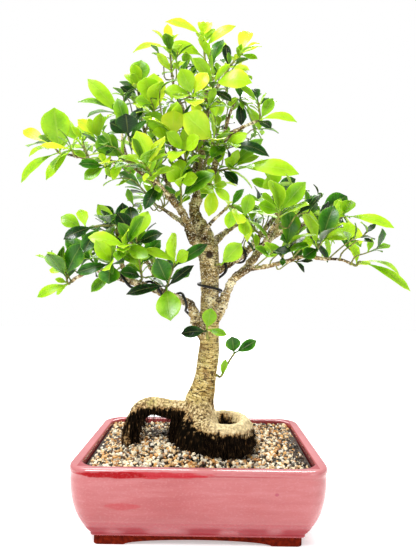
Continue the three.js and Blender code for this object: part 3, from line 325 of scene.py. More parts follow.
glaze, shader, place = start_material("pink_glaze")
x, y, height = parts_of(place)
ragged = cloud(place, 160, 3)
haze = cloud(place, 11, 5)
tint = colours(haze, (0.3, 0.34, 0.055, 0.058), (0.5, 0.4, 0.083, 0.086), (0.72, 0.44, 0.114, 0.119))
wiped = cloud(place, 46, 4, (0.5, 0.5, 4))
tint = over(between(wiped, 0.5, 0.68, 0, 0.25), tint, (0.5, 0.17, 0.175))
tint = over(between(wiped, 0.5, 0.34, 0, 0.25), tint, (0.33, 0.05, 0.055))
tint = over(between(height, 0.05, 0.012, 0, 0.7), tint, (0.4, 0.07, 0.074))
# The rounded top of the rim is a lighter pink: thin glaze, and a painted highlight along the rim's top edge.
thin_rim_and_highlight = between(plus(height, times(ragged, 0.002)), 0.0798, 0.0822, 0, 0.6)
tint = over(thin_rim_and_highlight, tint, (0.6, 0.23, 0.24))
# Inside the pot the wall is painted a deeper, darker red: painted shade below the rim.
inner_x = between(maths("ABSOLUTE", x), 0.1195, 0.1185)
inner_y = between(maths("ABSOLUTE", y), 0.0920, 0.0910)
tint = over(times(times(inner_x, inner_y), 0.8), tint, (0.36, 0.03, 0.04))
wander = times(cloud(place, 14, 2), 0.002)
off_line = maths("ABSOLUTE", minus(minus(height, wander), 0.0757))
thin_line = times(between(off_line, 0.0009, 0.0003), between(x, 0.11, 0.04))
tint = over(times(thin_line, 0.9), tint, (0.3, 0.012, 0.02))
drawn_out = cloud(place, 60, 3, (1, 1, 5))
streak = patch(place, (-0.052, -0.1015, 0.0772), (0.074, 0.04, 0.0038), drawn_out, 0.3)
tint = over(times(streak, 0.75), tint, (0.42, 0.012, 0.022))
deep_streak = patch(place, (-0.08, -0.1015, 0.0772), (0.036, 0.04, 0.0032), drawn_out, 0.2)
tint = over(deep_streak, tint, (0.3, 0.001, 0.004))
blotch = patch(place, (-0.0725, -0.1, 0.0465), (0.0205, 0.02, 0.0042), drawn_out, 0.4)
tint = over(times(blotch, 0.9), tint, (0.4, 0.035, 0.042))
speck = patch(place, (0.0757, -0.1, 0.0604), (0.0026, 0.02, 0.002), ragged)
tint = over(speck, tint, (0.34, 0.04, 0.07))
mottle = between(cloud(place, 420, 3, (1, 1, 1.6)), 0.5, 0.72, 0, 0.12)
tint = over(mottle, tint, (0.66, 0.3, 0.31))
pooled = times(between(height, 0.026, 0.0185), between(height, 0.0112, 0.0122))
pooled = times(pooled, between(cloud(place, 22, 3, (1, 1, 0.4)), 0.34, 0.54, 0.15, 0.95))
tint = over(pooled, tint, (0.3, 0.022, 0.032))
pinholes = add_node(place.id_data, "TexVoronoi", {"Vector": place, "Scale": 300}).outputs["Distance"]
tint = over(between(pinholes, 0.09, 0.05, 0, 0.35), tint, (0.4, 0.08, 0.08))
fired = cloud(place, 260, 4)
clay = colours(fired, (0.3, 0.06, 0.003, 0.001), (0.52, 0.13, 0.009, 0.002), (0.8, 0.24, 0.02, 0.004))
glaze_end = plus(height, times(ragged, 0.003))
bare = between(glaze_end, 0.0112, 0.0104)
gloss = between(cloud(place, 40, 3), 0.3, 0.7, 0.1, 0.24)
rough = add_node(place.id_data, "Mix", {0: bare, 2: gloss, 3: 0.75}, data_type="FLOAT").outputs[0]
polish = between(maths("MAXIMUM", streak, pooled), 0, 1, 1, 0.2)
shiny = times(between(glaze_end, 0.0104, 0.0112), polish)
glaze_finish = {
    "Base Color": over(bare, tint, clay),
    "Roughness": rough,
    "Specular IOR Level": between(shiny, 0, 1, 0.05, 0.5),
    "Coat Weight": between(shiny, 0, 1, 0, 0.3),
    "Coat Roughness": 0.06,
    "Normal": bumps(cloud(place, 140, 3), 0.00018, 0.6),
}
connect(shader, glaze_finish)
pot.data.materials.append(glaze)
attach(pot, "root")
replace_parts(pot, "pot")

# Drainage screen: black plastic mesh, cut to a strip that covers both holes in the pot's floor.
# It keeps the CAD model's own shape and gets moulded plastic with a fine woven grain.
screen_plastic, shader, place = start_material("screen_plastic")
weave = add_node(place.id_data, "TexWave", {"Vector": place, "Scale": 180, "Distortion": 0.4}).outputs["Fac"]
dust = cloud(place, 300, 4)
screen_finish = {
    "Base Color": colours(dust, (0.35, 0.012, 0.012, 0.012), (0.75, 0.05, 0.045, 0.04)),
    "Roughness": between(dust, 0.3, 0.7, 0.45, 0.75),
    "Normal": bumps(weave, 0.0003, 0.5),
}
connect(shader, screen_finish)
drain_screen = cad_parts["drain_screen"]
drain_screen.data.materials.clear()
drain_screen.data.materials.append(screen_plastic)

# Wood: trunk, leaders, branches and roots grew as one piece. The bark of this fig is thin and
# ringed like a tiger's coat; the trunk stands on a skirt of roots, with one arch and one coiled root.
# Places are (x, y, z, radius) in millimetres, as seen against the trunk's plane from the front.
viewpoint = np.array((7, -560, 248))
limbs = {
    "trunk": [(-2, -6, 54, 27), (-2, -6, 82, 26), (-1, -3, 106, 21), (-1, 0, 127, 17), (5, 0, 152, 13.2),
        (9, 0, 188, 12), (9, 0, 215, 11.4), (9, 0, 260, 10.8), (8, 0, 288, 12), (6, 1, 308, 12.4),
        (1, 4, 326, 9.4), (-7, 7, 340, 7.6), (-11, 9, 354, 6.6), (-7, 11, 372, 6.2), (-11, 12, 392, 5.8),
        (-7, 12, 409, 5.2), (-1, 12, 426, 4.8), (1, 13, 461, 4.1), (0, 14, 498, 3.6), (-1, 14, 535, 3)],
    "root_skirt": [(0, -22, 56, 30), (-1, -20, 78, 29), (-1, -12, 98, 23), (0, -5, 118, 16)],
    "root_arch": [(0, -2, 112, 14), (-18, 0, 115, 12), (-38, 2, 117, 11), (-56, 4, 120, 11),
        (-70, 5, 115, 11), (-78, 5, 100, 10), (-82, 4, 78, 9.5), (-83, 4, 54, 8)],
    "root_arch_leg": [(-20, 2, 110, 11), (-27, 0, 94, 9), (-26, -2, 76, 9), (-24, -2, 56, 8)],
    "root_left_back": [(-4, 8, 102, 14), (-26, 26, 86, 9), (-46, 42, 74, 6), (-60, 52, 60, 4)],
    "root_right_back": [(4, 8, 102, 14), (26, 28, 84, 9), (44, 42, 73, 6), (58, 50, 60, 4)],
    "low_left": [(4, -2, 202, 8), (-4, -7, 214, 7), (-13, -13, 237, 5.4), (-26, -17, 245, 4.8),
        (-39, -20, 250, 4.6), (-66, -22, 260, 4.2), (-86, -22, 266, 3.8), (-109, -14, 273, 3.3),
        (-129, -6, 279, 2.8), (-148, 0, 270, 2.3), (-156, 2, 264, 2)],
    "low_left_up": [(-84, -22, 265, 3.4), (-94, -27, 281, 2.8), (-99, -30, 297, 2.3), (-101, -27, 315, 1.9),
        (-104, -22, 328, 1.6)],
    "low_left_back": [(-50, -21, 254, 3.4), (-56, -4, 272, 2.9), (-68, 18, 292, 2.4), (-84, 40, 311, 2),
        (-96, 58, 322, 1.6)],
    "right_main": [(8, 0, 216, 9), (21, -2, 233, 7.2), (28, -6, 251, 5.5), (36, -8, 269, 5),
        (50, -10, 281, 5), (62, -8, 297, 4.8), (75, -4, 314, 4.5), (88, 0, 325, 4.2), (104, 4, 328, 3.8),
        (118, 8, 334, 3.3), (139, 9, 336, 2.7), (159, 10, 343, 2.1)],
    "right_low": [(46, -11, 278, 3.6), (58, -21, 283, 3.1), (77, -31, 286, 2.7), (102, -41, 293, 2.4),
        (118, -47, 298, 2.2), (144, -51, 296, 2), (165, -53, 295, 1.7), (178, -54, 290, 1.5)],
    "right_upper": [(8, 8, 278, 6.6), (21, 20, 282, 5.4), (31, 24, 289, 5.2), (46, 27, 298, 4.8),
        (54, 29, 305, 4.4), (63, 32, 315, 3.9), (74, 37, 331, 3.2), (87, 44, 346, 2.6), (98, 51, 360, 2)],
    "right_top": [(84, 0, 323, 3.4), (88, 2, 337, 2.7), (87, 2, 353, 2.2), (84, 0, 367, 1.8)],
    "right_back": [(102, 4, 328, 3.2), (114, 24, 334, 2.6), (125, 46, 341, 2.1), (133, 64, 348, 1.7)],
    "right_front": [(72, -5, 311, 3.2), (78, -24, 324, 2.5), (82, -46, 332, 2), (88, -64, 340, 1.6)],
    "up_left": [(2, -2, 302, 8), (-11, -7, 316, 6), (-18, -11, 333, 5.3), (-25, -14, 349, 4.7),
        (-35, -16, 361, 4.2), (-49, -18, 376, 3.8), (-69, -20, 393, 3.3), (-90, -20, 405, 2.8),
        (-112, -18, 409, 2.5), (-134, -14, 411, 2.2), (-154, -10, 415, 1.9), (-170, -6, 418, 1.6)],
    "left_back": [(-32, -15, 357, 3.8), (-42, 4, 382, 3.1), (-58, 18, 414, 2.6), (-72, 24, 446, 2.1),
        (-78, 20, 476, 1.6)],
    "left_middle": [(-88, -20, 404, 2.6), (-96, -12, 424, 2.2), (-99, -4, 442, 1.8), (-98, 2, 457, 1.6)],
    "left_front": [(-67, -20, 391, 2.8), (-76, -33, 412, 2.1), (-88, -44, 432, 1.6)],
    "left_near": [(-33, -16, 359, 3.2), (-42, -42, 370, 2.4), (-53, -66, 382, 1.9), (-61, -84, 390, 1.6)],
    "leader_left": [(-11, 12, 390, 4.2), (-26, 0, 410, 3.1), (-38, -12, 428, 2.5), (-50, -22, 448, 2),
        (-58, -27, 462, 1.6)],
    "thin_front": [(-2, 0, 312, 5), (4, -13, 330, 2.8), (15, -22, 343, 2.1), (28, -27, 355, 1.7)],
    "up_right": [(-9, 10, 360, 5.4), (5, 4, 387, 4.4), (13, 0, 406, 4), (17, -2, 424, 3.6),
        (25, -4, 440, 3.1), (44, -6, 452, 2.4), (63, -8, 461, 1.8)],
    "up_right_fork": [(18, -2, 426, 3), (24, 4, 446, 2.4), (30, 7, 468, 2), (36, 8, 484, 1.6)],
    "top_left": [(-1, 12, 428, 3.6), (-14, 7, 452, 2.8), (-27, 3, 476, 2.3), (-37, 0, 498, 1.8),
        (-40, -1, 516, 1.5)],
    "top_right": [(1, 13, 470, 3.2), (10, 9, 491, 2.3), (19, 5, 509, 1.8), (27, 2, 523, 1.5)],
    "top_front": [(0, 12, 442, 3.6), (-8, -6, 464, 2.4), (-16, -22, 482, 1.9), (-22, -34, 496, 1.5)],
    "top_back": [(1, 14, 456, 3.4), (4, 32, 478, 2.4), (6, 46, 494, 1.7)],
    "back_left": [(2, 4, 312, 7), (-18, 34, 332, 4.2), (-38, 58, 346, 3), (-54, 74, 356, 1.9)],
    "back_right": [(6, 4, 306, 7), (22, 34, 322, 4.2), (38, 56, 334, 3), (50, 70, 342, 1.9)],
    "back_high": [(-10, 12, 386, 4.6), (0, 34, 406, 3), (6, 52, 422, 1.9)],
}
stub_line = [(-6, 11, 424, 4.6), (-12, 9, 436, 4.2), (-17, 6, 446, 3.8)]
knots = [
    (12, -12, 267, 2.8), (8, -12, 299, 6.6), (2, -9, 318, 3.2), (-6, -2, 340, 2.6), (-1, -12, 244, 2.6),
    (-3, -12, 170, 2.4), (13, -10, 157, 2.2), (-2, -11, 226, 2.2), (-15, 4, 372, 2.4),
    (-33, -24, 336, 2.4), (60, -22, 316, 2.4)
]
coil_centre = np.array((29, -25, 95))
coil_radius = 21
coil_half_width = 11
coil_half_height = 19.5
coil_girth = 15
coil_length = 132
coil_number = 40
coil_tilt = 8
voxel = 0.00125
root_top = 150


def seen(x, y, z):
    """The real place of a point seen at x, z against the trunk's plane, and set back by y."""
    eye_x, eye_y, eye_z = viewpoint
    reach = 1 - y / eye_y
    return np.array((eye_x + (x - eye_x) * reach, y, eye_z + (z - eye_z) * reach))


def unit(vector):
    return vector / np.linalg.norm(vector)


def along(places, place):
    """A point of the smooth line through the list: place 2.5 is halfway from the third to the fourth."""
    last = len(places) - 1
    start = min(max(math.floor(place), 0), last - 1)
    a, b, c, d = (places[i] for i in (max(start - 1, 0), start, start + 1, min(start + 2, last)))
    t = place - start
    curve = 2 * a - 5 * b + 4 * c - d + (3 * b - a - 3 * c + d) * t
    return 0.5 * (2 * b + (c - a) * t + curve * t * t)


def on_limb(limb, place):
    """Centre, direction and radius of a limb at a place on its list."""
    spot = along(limb, place)
    return spot[:3], unit(along(limb, place + 0.02)[:3] - along(limb, place - 0.02)[:3]), spot[3]


def steps_of(limb):
    """The lengths of a limb's straight steps from place to place."""
    return [np.linalg.norm(b[:3] - a[:3]) for a, b in zip(limb, limb[1:])]


def put_in_scene(name, data):
    """A new object that holds the mesh or curve, at the origin."""
    piece = bpy.data.objects.new(name, data)
    bpy.context.scene.collection.objects.link(piece)
    return piece


def add_tube(name, spots, thickness, roundness):
    """A capped tube through a list of (x, y, z, share of the thickness), in millimetres."""
    line = bpy.data.curves.new(name, "CURVE")
    line.dimensions = "3D"
    line.bevel_depth = thickness / 1000
    line.bevel_resolution = roundness
    line.use_fill_caps = True
    spline = line.splines.new("POLY")
    spline.points.add(len(spots) - 1)
    for point, (x, y, z, share) in zip(spline.points, spots):
        point.co = (x / 1000, y / 1000, z / 1000, 1)
        point.radius = share
    return put_in_scene(name, line)


limbs = {
    name: [np.array((*seen(x, y, z), radius)) for x, y, z, radius in line]
    for name, line in {**limbs, "cut_stub": stub_line}.items()
}
core_points = []
core_facts = []
limb_tubes = []
bpy.ops.object.select_all(action="DESELECT")
for number, (name, limb) in enumerate(limbs.items()):
    spots = []
    walked = 0
    steps = steps_of(limb)
    for i, length in enumerate(steps):
        count = max(2, round(length / 3))
        for k in range(count + (i == len(steps) - 1)):
            centre, ahead, radius = on_limb(limb, i + k / count)
            spots.append((*centre, radius))
            core_points.append(centre)
            core_facts.append((walked + length * k / count, radius, *ahead, number))
        walked += length
    limb_tubes.append(add_tube(name, spots, 1, 6))
for k in range(48):
    turn = 2 * math.pi * k / 48
    off_centre = (coil_radius * math.cos(turn), coil_radius * math.sin(turn), 3 * math.sin(turn))
    core_points.append(coil_centre + off_centre)
    core_facts.append((coil_length * k / 48, coil_girth, -math.sin(turn), math.cos(turn), 0, coil_number))
core_points = np.array(core_points)
core_facts = np.array(core_facts)
core_tree = kdtree.KDTree(len(core_points))
for i, point in enumerate(core_points):
    core_tree.insert(point, i)
core_tree.balance()

bpy.ops.mesh.primitive_torus_add(
    location=coil_centre / 1000,
    major_radius=coil_radius / 1000,
    minor_radius=coil_half_width / 1000,
    major_segments=72,
    minor_segments=32,
)
coil = bpy.context.object
for vertex in coil.data.vertices:
    reach = vertex.co.xy.length
    inward = coil_radius / 1000 - reach
    if inward > 0:
        toward_front = 0.5 - 0.5 * vertex.co.y / reach
        vertex.co.xy *= (coil_radius / 1000 - inward * (0.4 + 1.2 * toward_front)) / reach
coil.scale.z = coil_half_height / coil_half_width
coil.rotation_euler.x = math.radians(coil_tilt)
bpy.ops.object.transform_apply(location=True, rotation=True, scale=True)
bpy.ops.object.select_all(action="DESELECT")
for tube in limb_tubes:
    tube.select_set(True)
bpy.context.view_layer.objects.active = limb_tubes[0]
bpy.ops.object.convert(target="MESH")
coil.select_set(True)
bpy.ops.object.join()
wood = bpy.context.object
wood.name = "trunk_branches_and_roots"
apply_modifier(wood, "REMESH", mode="VOXEL", voxel_size=voxel)
apply_modifier(wood, "SMOOTH", factor=0.5, iterations=3)

skin = wood.data
count = len(skin.vertices)
points = np.empty(count * 3)
skin.vertices.foreach_get("co", points)
points = points.reshape(-1, 3) * 1000
normals = np.empty(count * 3)
skin.vertex_normals.foreach_get("vector", normals)
normals = normals.reshape(-1, 3)
nearest = np.empty(count, int)
for i, point in enumerate(points):
    nearest[i] = min(core_tree.find_n(point, 6), key=lambda hit: hit[2] / core_facts[hit[1], 1])[1]
facts = core_facts[nearest]
offset = points - core_points[nearest]
step = np.einsum("ij,ij->i", offset, facts[:, 2:5])
walked = facts[:, 0] + step + facts[:, 5] * 400
radius = facts[:, 1]
radial = offset - step[:, None] * facts[:, 2:5]
radial /= np.maximum(np.linalg.norm(radial, axis=1), 0.01)[:, None]


def noise_at(*place):
    return noise.noise(Vector(place))


def bark_rise(place, walked, out, radius):
    """How far the bark stands out: rings on trunk and limbs, knuckles on twigs, ropes on the roots."""
    x, y, z = place
    swell = noise.noise(Vector(place) / (2.6 * radius + 6)) * (0.09 * radius + 0.2)
    ring = noise_at(walked * 0.75, out[0] * 0.8, out[1] * 0.8)
    ring += 0.5 * noise_at(walked * 2.1, out[0] * 1.6, 7 + out[1] * 1.6)
    relief = 0.16 * min(radius, 8) / 8 * ring
    if z < root_top:
        root = min(1, (root_top - z) / 45)
        rope = noise_at(out[0] * 2.6, out[1] * 2.6, walked * 0.03 + out[2] * 2.6)
        rope += 0.5 * noise_at(x * 0.3, y * 0.3, z * 0.06)
        fibre = noise.noise(Vector((x, y, z * 0.3)) * 0.7)
        relief = relief * (1 - root) + root * (1.5 * rope + 0.35 * fibre)
    if radius < 7 and z > root_top:
        joint = max(0, math.cos(walked * 0.55 + 3 * noise_at(walked * 0.04, 0, 0))) ** 6
        relief += radius * (0.14 * joint + 0.24 * noise_at(walked * 0.28, out[0] * 0.7, out[2] * 0.7))
    elif z > 250:
        relief += 1.1 * noise.noise(Vector(place) * 0.13) + 0.6 * noise.noise(Vector(place) * 0.37)
    return swell + relief


rise = np.array([bark_rise(*vertex) for vertex in zip(points, walked, radial, radius)])
knot = np.zeros(count)
for x, y, z, size in knots:
    away = np.linalg.norm(points - seen(x, y, z), axis=1) / size
    knot = np.maximum(knot, np.exp(-2 * away**2))
    rise += 0.9 * np.exp(-6 * (away - 1) ** 2) - 0.9 * np.exp(-5 * away**2)
points += normals * rise[:, None]
skin.vertices.foreach_set("co", (points / 1000).ravel())


def store(mesh, name, values):
    """Keeps a value for each point of a mesh, which its material reads by the same name."""
    layer = mesh.attributes.new(name, "FLOAT", "POINT")
    layer.data.foreach_set("value", values.astype(np.float32))


store(skin, "walked", walked / 1000)
store(skin, "girth", radius / 1000)
store(skin, "knot", knot)
skin.update()
bpy.ops.object.shade_smooth()


def stored(place, name):
    """The value that the mesh keeps under a name."""
    return add_node(place.id_data, "Attribute", attribute_name=name).outputs["Fac"]


bark, shader, place = start_material("tiger_bark")
x, y, height = parts_of(place)
ring_steps = {"X": times(x, 90), "Y": times(y, 90), "Z": times(stored(place, "walked"), 620)}
ring_place = add_node(place.id_data, "CombineXYZ", ring_steps).outputs["Vector"]
ring_noise = {"Vector": ring_place, "Scale": 1, "Detail": 5, "Roughness": 0.62}
rings = add_node(place.id_data, "TexNoise", ring_noise).outputs["Fac"]
mottle = cloud(place, 70, 5)
fine = cloud(place, 420, 4)
trunk_tint = colours(
    rings, (0.34, 0.1, 0.056, 0.016), (0.44, 0.4, 0.27, 0.075), (0.54, 0.62, 0.48, 0.17),
    (0.66, 0.92, 0.82, 0.46)
)
trunk_tint = over(between(mottle, 0.54, 0.66, 0, 0.5), trunk_tint, (0.42, 0.38, 0.11))
trunk_tint = over(between(mottle, 0.46, 0.34, 0, 0.7), trunk_tint, (0.27, 0.15, 0.05))
twig_tint = colours(
    mottle, (0.36, 0.05, 0.028, 0.01), (0.46, 0.24, 0.15, 0.055), (0.55, 0.48, 0.35, 0.15),
    (0.66, 0.85, 0.74, 0.45)
)
twig_tint = over(between(rings, 0.5, 0.38, 0, 0.85), twig_tint, (0.07, 0.04, 0.015))
grit = cloud(place, 560, 3)
twig_tint = over(between(grit, 0.55, 0.62, 0, 0.75), twig_tint, (0.95, 0.9, 0.68))
aged = plus(height, times(mottle, 0.09))
trunk_tint = over(between(aged, 0.268, 0.305, 0, 0.8), trunk_tint, twig_tint)
tint = over(between(stored(place, "girth"), 0.0068, 0.0115), twig_tint, trunk_tint)
flecks = between(cloud(place, 190, 3, (1, 1, 2.0)), 0.56, 0.63, 0, 0.9)
tint = over(flecks, tint, (0.06, 0.034, 0.014))
specks = between(cloud(place, 520, 2), 0.57, 0.64, 0, 0.85)
tint = over(specks, tint, (0.05, 0.03, 0.012))
tint = over(between(stored(place, "knot"), 0.2, 0.6), tint, (0.03, 0.016, 0.007))
strands = cloud(place, 330, 4, (1, 1, 0.16))
grain = plus(cloud(place, 380, 3), times(fine, 0.3))
root_light = colours(
    grain, (0.55, 0.07, 0.04, 0.015), (0.62, 0.34, 0.23, 0.09), (0.71, 0.56, 0.42, 0.2),
    (0.84, 0.84, 0.72, 0.44)
)
root_brown = colours(grain, (0.54, 0.012, 0.007, 0.003), (0.68, 0.3, 0.16, 0.05), (0.84, 0.6, 0.42, 0.2))
root_dark = colours(
    strands, (0.5, 0.004, 0.003, 0.002), (0.64, 0.02, 0.011, 0.005), (0.76, 0.24, 0.13, 0.05)
)
coil_skin = times(between(x, 0.004, 0.02), between(height, 0.125, 0.115))
root_light = over(times(coil_skin, 0.5), root_light, (0.78, 0.63, 0.36))
# Root colour follows the way the surface faces: faces turned up are painted pale and faces turned down dark,
# a painted light from above and painted shade below. It is also darker low on the skirt and lighter on the
# arch's outer leg.
facing = add_node(place.id_data, "NewGeometry").outputs["Normal"]
ragged = plus(times(strands, 1.9), times(cloud(place, 70, 2), 1.3))
lift = between(x, 0.006, -0.014, 0, 0.017)
low_down = between(minus(height, lift), 0.108, 0.088, 0, 1.2)
outer_leg = between(x, -0.07, -0.084, 0, 0.75)
painted_light_on_top = minus(plus(parts_of(facing)["Z"], ragged), minus(low_down, outer_leg))
root_tint = over(between(painted_light_on_top, 1.2, 1.6), root_dark, root_brown)
root_tint = over(between(painted_light_on_top, 1.5, 2.0), root_tint, root_light)
foot = between(plus(height, times(mottle, 0.03)), 0.150, 0.134)
bark_finish = {
    "Base Color": over(foot, tint, root_tint),
    "Roughness": between(fine, 0.3, 0.7, 0.6, 0.9),
    "Specular IOR Level": between(painted_light_on_top, 1.2, 1.8, 0.0, 0.3),
    "Normal": bumps(plus(rings, times(fine, 0.4)), 0.0009, 0.8),
}
connect(shader, bark_finish)
wood.data.materials.clear()
wood.data.materials.append(bark)
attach(wood, "root")
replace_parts(wood, "wood")

# Root hairs: short dark feeding roots that hang from the coil, the arch and the skirt of roots.
# They are finer than a millimetre, and each tapers to a point above the gravel.
hair_count = 2200
hair_top = 117
hair_bottom = 82
hair_end = 79
bare_leg_x = -74
rng = np.random.default_rng(5)
wanted = np.flatnonzero(
    (points[:, 2] > hair_bottom) & (points[:, 2] < hair_top) & (normals[:, 2] < 0.3)
    & (normals[:, 2] > -0.7) & (radius > 7.5)
)
bare_leg = (points[wanted, 0] < bare_leg_x) & (rng.uniform(0, 1, len(wanted)) < 0.75)
chosen = rng.choice(wanted[~bare_leg], hair_count, replace=False)
starts = points[chosen]
outward = radial[chosen] * (1, 1, 0)
lengths = np.minimum(rng.uniform(6, 22, hair_count), np.maximum(starts[:, 2] - hair_end, 6))
widths = rng.uniform(0.18, 0.42, hair_count)
sway = rng.normal(0, 0.12, (hair_count, 3))
hair_points = []
for k in range(5):
    share = k / 4
    down = lengths * share
    centres = starts + outward * (0.2 + 6 * share * share) + sway * down[:, None]
    centres[:, 2] = starts[:, 2] - down
    for angle in (0, 2.09, 4.19):
        ring = np.array((math.cos(angle), math.sin(angle), 0))
        hair_points.append(centres + ring * (widths * (1 - 0.85 * share))[:, None])
hair_points = np.stack(hair_points, axis=1)
hair_points[:, :, 2] = np.maximum(hair_points[:, :, 2], hair_end + 0.5)
hair_sides = [(2, 1, 0), (12, 13, 14)]
for k in range(4):
    for a in range(3):
        b = (a + 1) % 3
        hair_sides.append((3 * k + a, 3 * k + b, 3 * k + 3 + b, 3 * k + 3 + a))


def mesh_piece(name, points, faces):
    """A new object with a mesh of points in millimetres."""
    mesh = bpy.data.meshes.new(name)
    mesh.from_pydata((points.reshape(-1, 3) / 1000).tolist(), [], faces)
    return put_in_scene(name, mesh)


hair_faces = [tuple(15 * n + i for i in side) for n in range(hair_count) for side in hair_sides]
hairs = mesh_piece("root_hairs", hair_points, hair_faces)
hair_bark, shader, place = start_material("dark_root_hair")
shades = cloud(place, 500, 3, (1, 1, 0.3))
hair_finish = {
    "Base Color": colours(
        shades, (0.45, 0.005, 0.003, 0.002), (0.62, 0.035, 0.02, 0.01), (0.75, 0.25, 0.15, 0.06)
    ),
    "Roughness": between(shades, 0.3, 0.7, 0.7, 0.9),
    "Specular IOR Level": 0.03,
    "Normal": bumps(shades, 0.0001),
}
connect(shader, hair_finish)
hairs.data.materials.append(hair_bark)
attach(hairs, "root")

# Gravel: angular grains of cream, tan, rust and grey rock, mostly three to six millimetres across.
# They fill the pot to just below its rim, in a low heap round the roots, over a dark bed of fines.
stone_count = 4700
stone_sizes = (1.3, 1.9, 2.5, 3.1)
stone_shares = (0.26, 0.36, 0.27, 0.11)
bed_inset = 0.0118
bed_top = 0.0735
bed_corner = 0.0122
bed_rings = 14
bed_sides = [(11.8, 73.5), (11, 69), (17, 35), (33, 19.2)]
bed_depth = 3
gravel_level = 75
mound = 8
stone_sink = 1.4
wood_overlap = 3
inner_half_length = 117
inner_half_depth = 89.5
inner_corner = 11.6
corner_centre = (105, 77.3)


def heap(x, y, place, reach):
    """A round heap: 1 at its place, and falling off with its reach along x and y."""
    return np.exp(-(((x - place[0]) / reach[0]) ** 2) - ((y - place[1]) / reach[1]) ** 2)


def gravel_height(x, y):
    """Height of the gravel's surface in millimetres, with banks by the roots, ripples and a high back."""
    bank = 7 * heap(x, y, (-29, -35), (15, 15)) + 4.8 * heap(x, y, (-8, -49), (13, 12))
    bank = bank + 2.2 * heap(x, y, (24, -62), (26, 8)) * (1 + np.sin(x / 5))
    at_back = 4.2 * np.clip((y - 20) / 60, 0, 1)
    return gravel_level + mound * np.maximum(0, 1 - np.hypot(x / 110, y / 75)) + bank + at_back


bed = rounded_sheet("gravel_bed", bed_inset, bed_top, bed_corner, 8)
pull_rings(bed_sides)
pick_faces(bed, lambda face: abs(face.center.z - bed_top) < 0.0001 and face.area > 0.02)
for ring in range(bed_rings):
    bpy.ops.mesh.extrude_region_move()
    shrink = (bed_rings - ring - 0.95) / (bed_rings - ring)
    bpy.ops.transform.resize(value=(shrink, shrink, 1), center_override=(0, 0, bed_top))
bpy.ops.mesh.merge(type="CENTER")
bpy.ops.mesh.select_all(action="SELECT")
bpy.ops.mesh.normals_make_consistent(inside=False)
bpy.ops.object.mode_set(mode="OBJECT")
for vertex in bed.data.vertices:
    if vertex.co.z > 0.073:
        x, y = vertex.co.x * 1000, vertex.co.y * 1000
        uneven = 0.7 * noise.noise(Vector((x, y, 0)) * 0.4)
        vertex.co.z = (gravel_height(x, y) - bed_depth + uneven) / 1000
bed.data.update()

bpy.ops.object.select_all(action="DESELECT")
bpy.ops.mesh.primitive_ico_sphere_add(subdivisions=1, radius=1)
pebble = bpy.context.object
corners = np.array([vertex.co[:] for vertex in pebble.data.vertices])
facets = np.array([face.vertices[:] for face in pebble.data.polygons])
bpy.data.objects.remove(pebble)
rng = np.random.default_rng(11)
places = []
while len(places) < stone_count:
    x = rng.uniform(-inner_half_length, inner_half_length)
    y = rng.uniform(-inner_half_depth, inner_half_depth)
    size = rng.choice(stone_sizes, p=stone_shares)
    past_corner = math.hypot(max(abs(x) - corner_centre[0], 0), max(abs(y) - corner_centre[1], 0))
    if past_corner > inner_corner - size:
        continue
    z = gravel_height(x, y) - stone_sink + rng.uniform(-1.4, 0.5)
    off_wood = min(distance - core_facts[i, 1] for _, i, distance in core_tree.find_n((x, y, z), 4))
    if off_wood > -wood_overlap:
        places.append((x, y, z, size, off_wood))
places = np.array(places)
turns = rng.normal(size=(stone_count, 4))
turns /= np.linalg.norm(turns, axis=1)[:, None]
w, a, b, c = turns.T
spin = np.array(
    [
        [1 - 2 * (b * b + c * c), 2 * (a * b - w * c), 2 * (a * c + w * b)],
        [2 * (a * b + w * c), 1 - 2 * (a * a + c * c), 2 * (b * c - w * a)],
        [2 * (a * c - w * b), 2 * (b * c + w * a), 1 - 2 * (a * a + b * b)],
    ]
).transpose(2, 0, 1)
girths = places[:, 3:4] * rng.uniform((0.8, 0.7, 0.55), (1.25, 1.05, 0.85), size=(stone_count, 3))
lumps = corners[None] * girths[:, None] * rng.uniform(0.78, 1.18, size=(stone_count, 12, 1))
stones = np.einsum("nij,nkj->nki", spin, lumps) + places[:, None, :3]
stone_faces = (facets[None] + 12 * np.arange(stone_count)[:, None, None]).reshape(-1, 3).tolist()
grains = mesh_piece("gravel_grains", stones, stone_faces)
shades = rng.uniform(0, 1, stone_count)
x, y, z, size, off_wood = places.T
# Stones are darkened near the wood, in a strip by the right rim and in a band at the back: partly dark soil,
# partly painted shade at the foot of the roots, in the gap by the rim and under the raised gravel at the
# back. Stones at the front of the skirt are kept pale.
soil_and_painted_shade = np.clip(0.8 - off_wood / 9, 0.12, 0.8) * (1 - 0.9 * heap(x, y, (-20, -48), (22, 17)))
soil_and_painted_shade += 0.8 * heap(x, y, (112, -32), (9, 50)) + 0.85 * heap(x, y, (-54, 46), (22, 16))
darkened_stones = rng.uniform(0, 1, stone_count) < soil_and_painted_shade
store(grains.data, "shade", np.repeat(np.where(darkened_stones, shades * 0.12, shades), 12))

fines, shader, place = start_material("dark_fines")
dirt = cloud(place, 350, 4)
fines_finish = {
    "Base Color": colours(dirt, (0.35, 0.006, 0.004, 0.003), (0.65, 0.06, 0.035, 0.017)),
    "Roughness": between(dirt, 0.3, 0.7, 0.75, 0.95),
    "Normal": bumps(dirt, 0.001),
}
connect(shader, fines_finish)
bed.data.materials.append(fines)
rock, shader, place = start_material("gravel_rock")
tint = colours(
    stored(place, "shade"), (0.0, 0.008, 0.005, 0.003), (0.1, 0.03, 0.018, 0.009), (0.16, 0.3, 0.11, 0.03),
    (0.26, 0.7, 0.36, 0.1), (0.4, 0.66, 0.42, 0.18), (0.6, 0.92, 0.76, 0.5), (0.8, 1.0, 0.92, 0.72),
    (0.9, 0.2, 0.15, 0.1), (1.0, 0.98, 0.92, 0.78)
)
speckle = cloud(place, 900, 3)
tint = over(between(speckle, 0.55, 0.75, 0, 0.6), tint, (0.3, 0.17, 0.08))
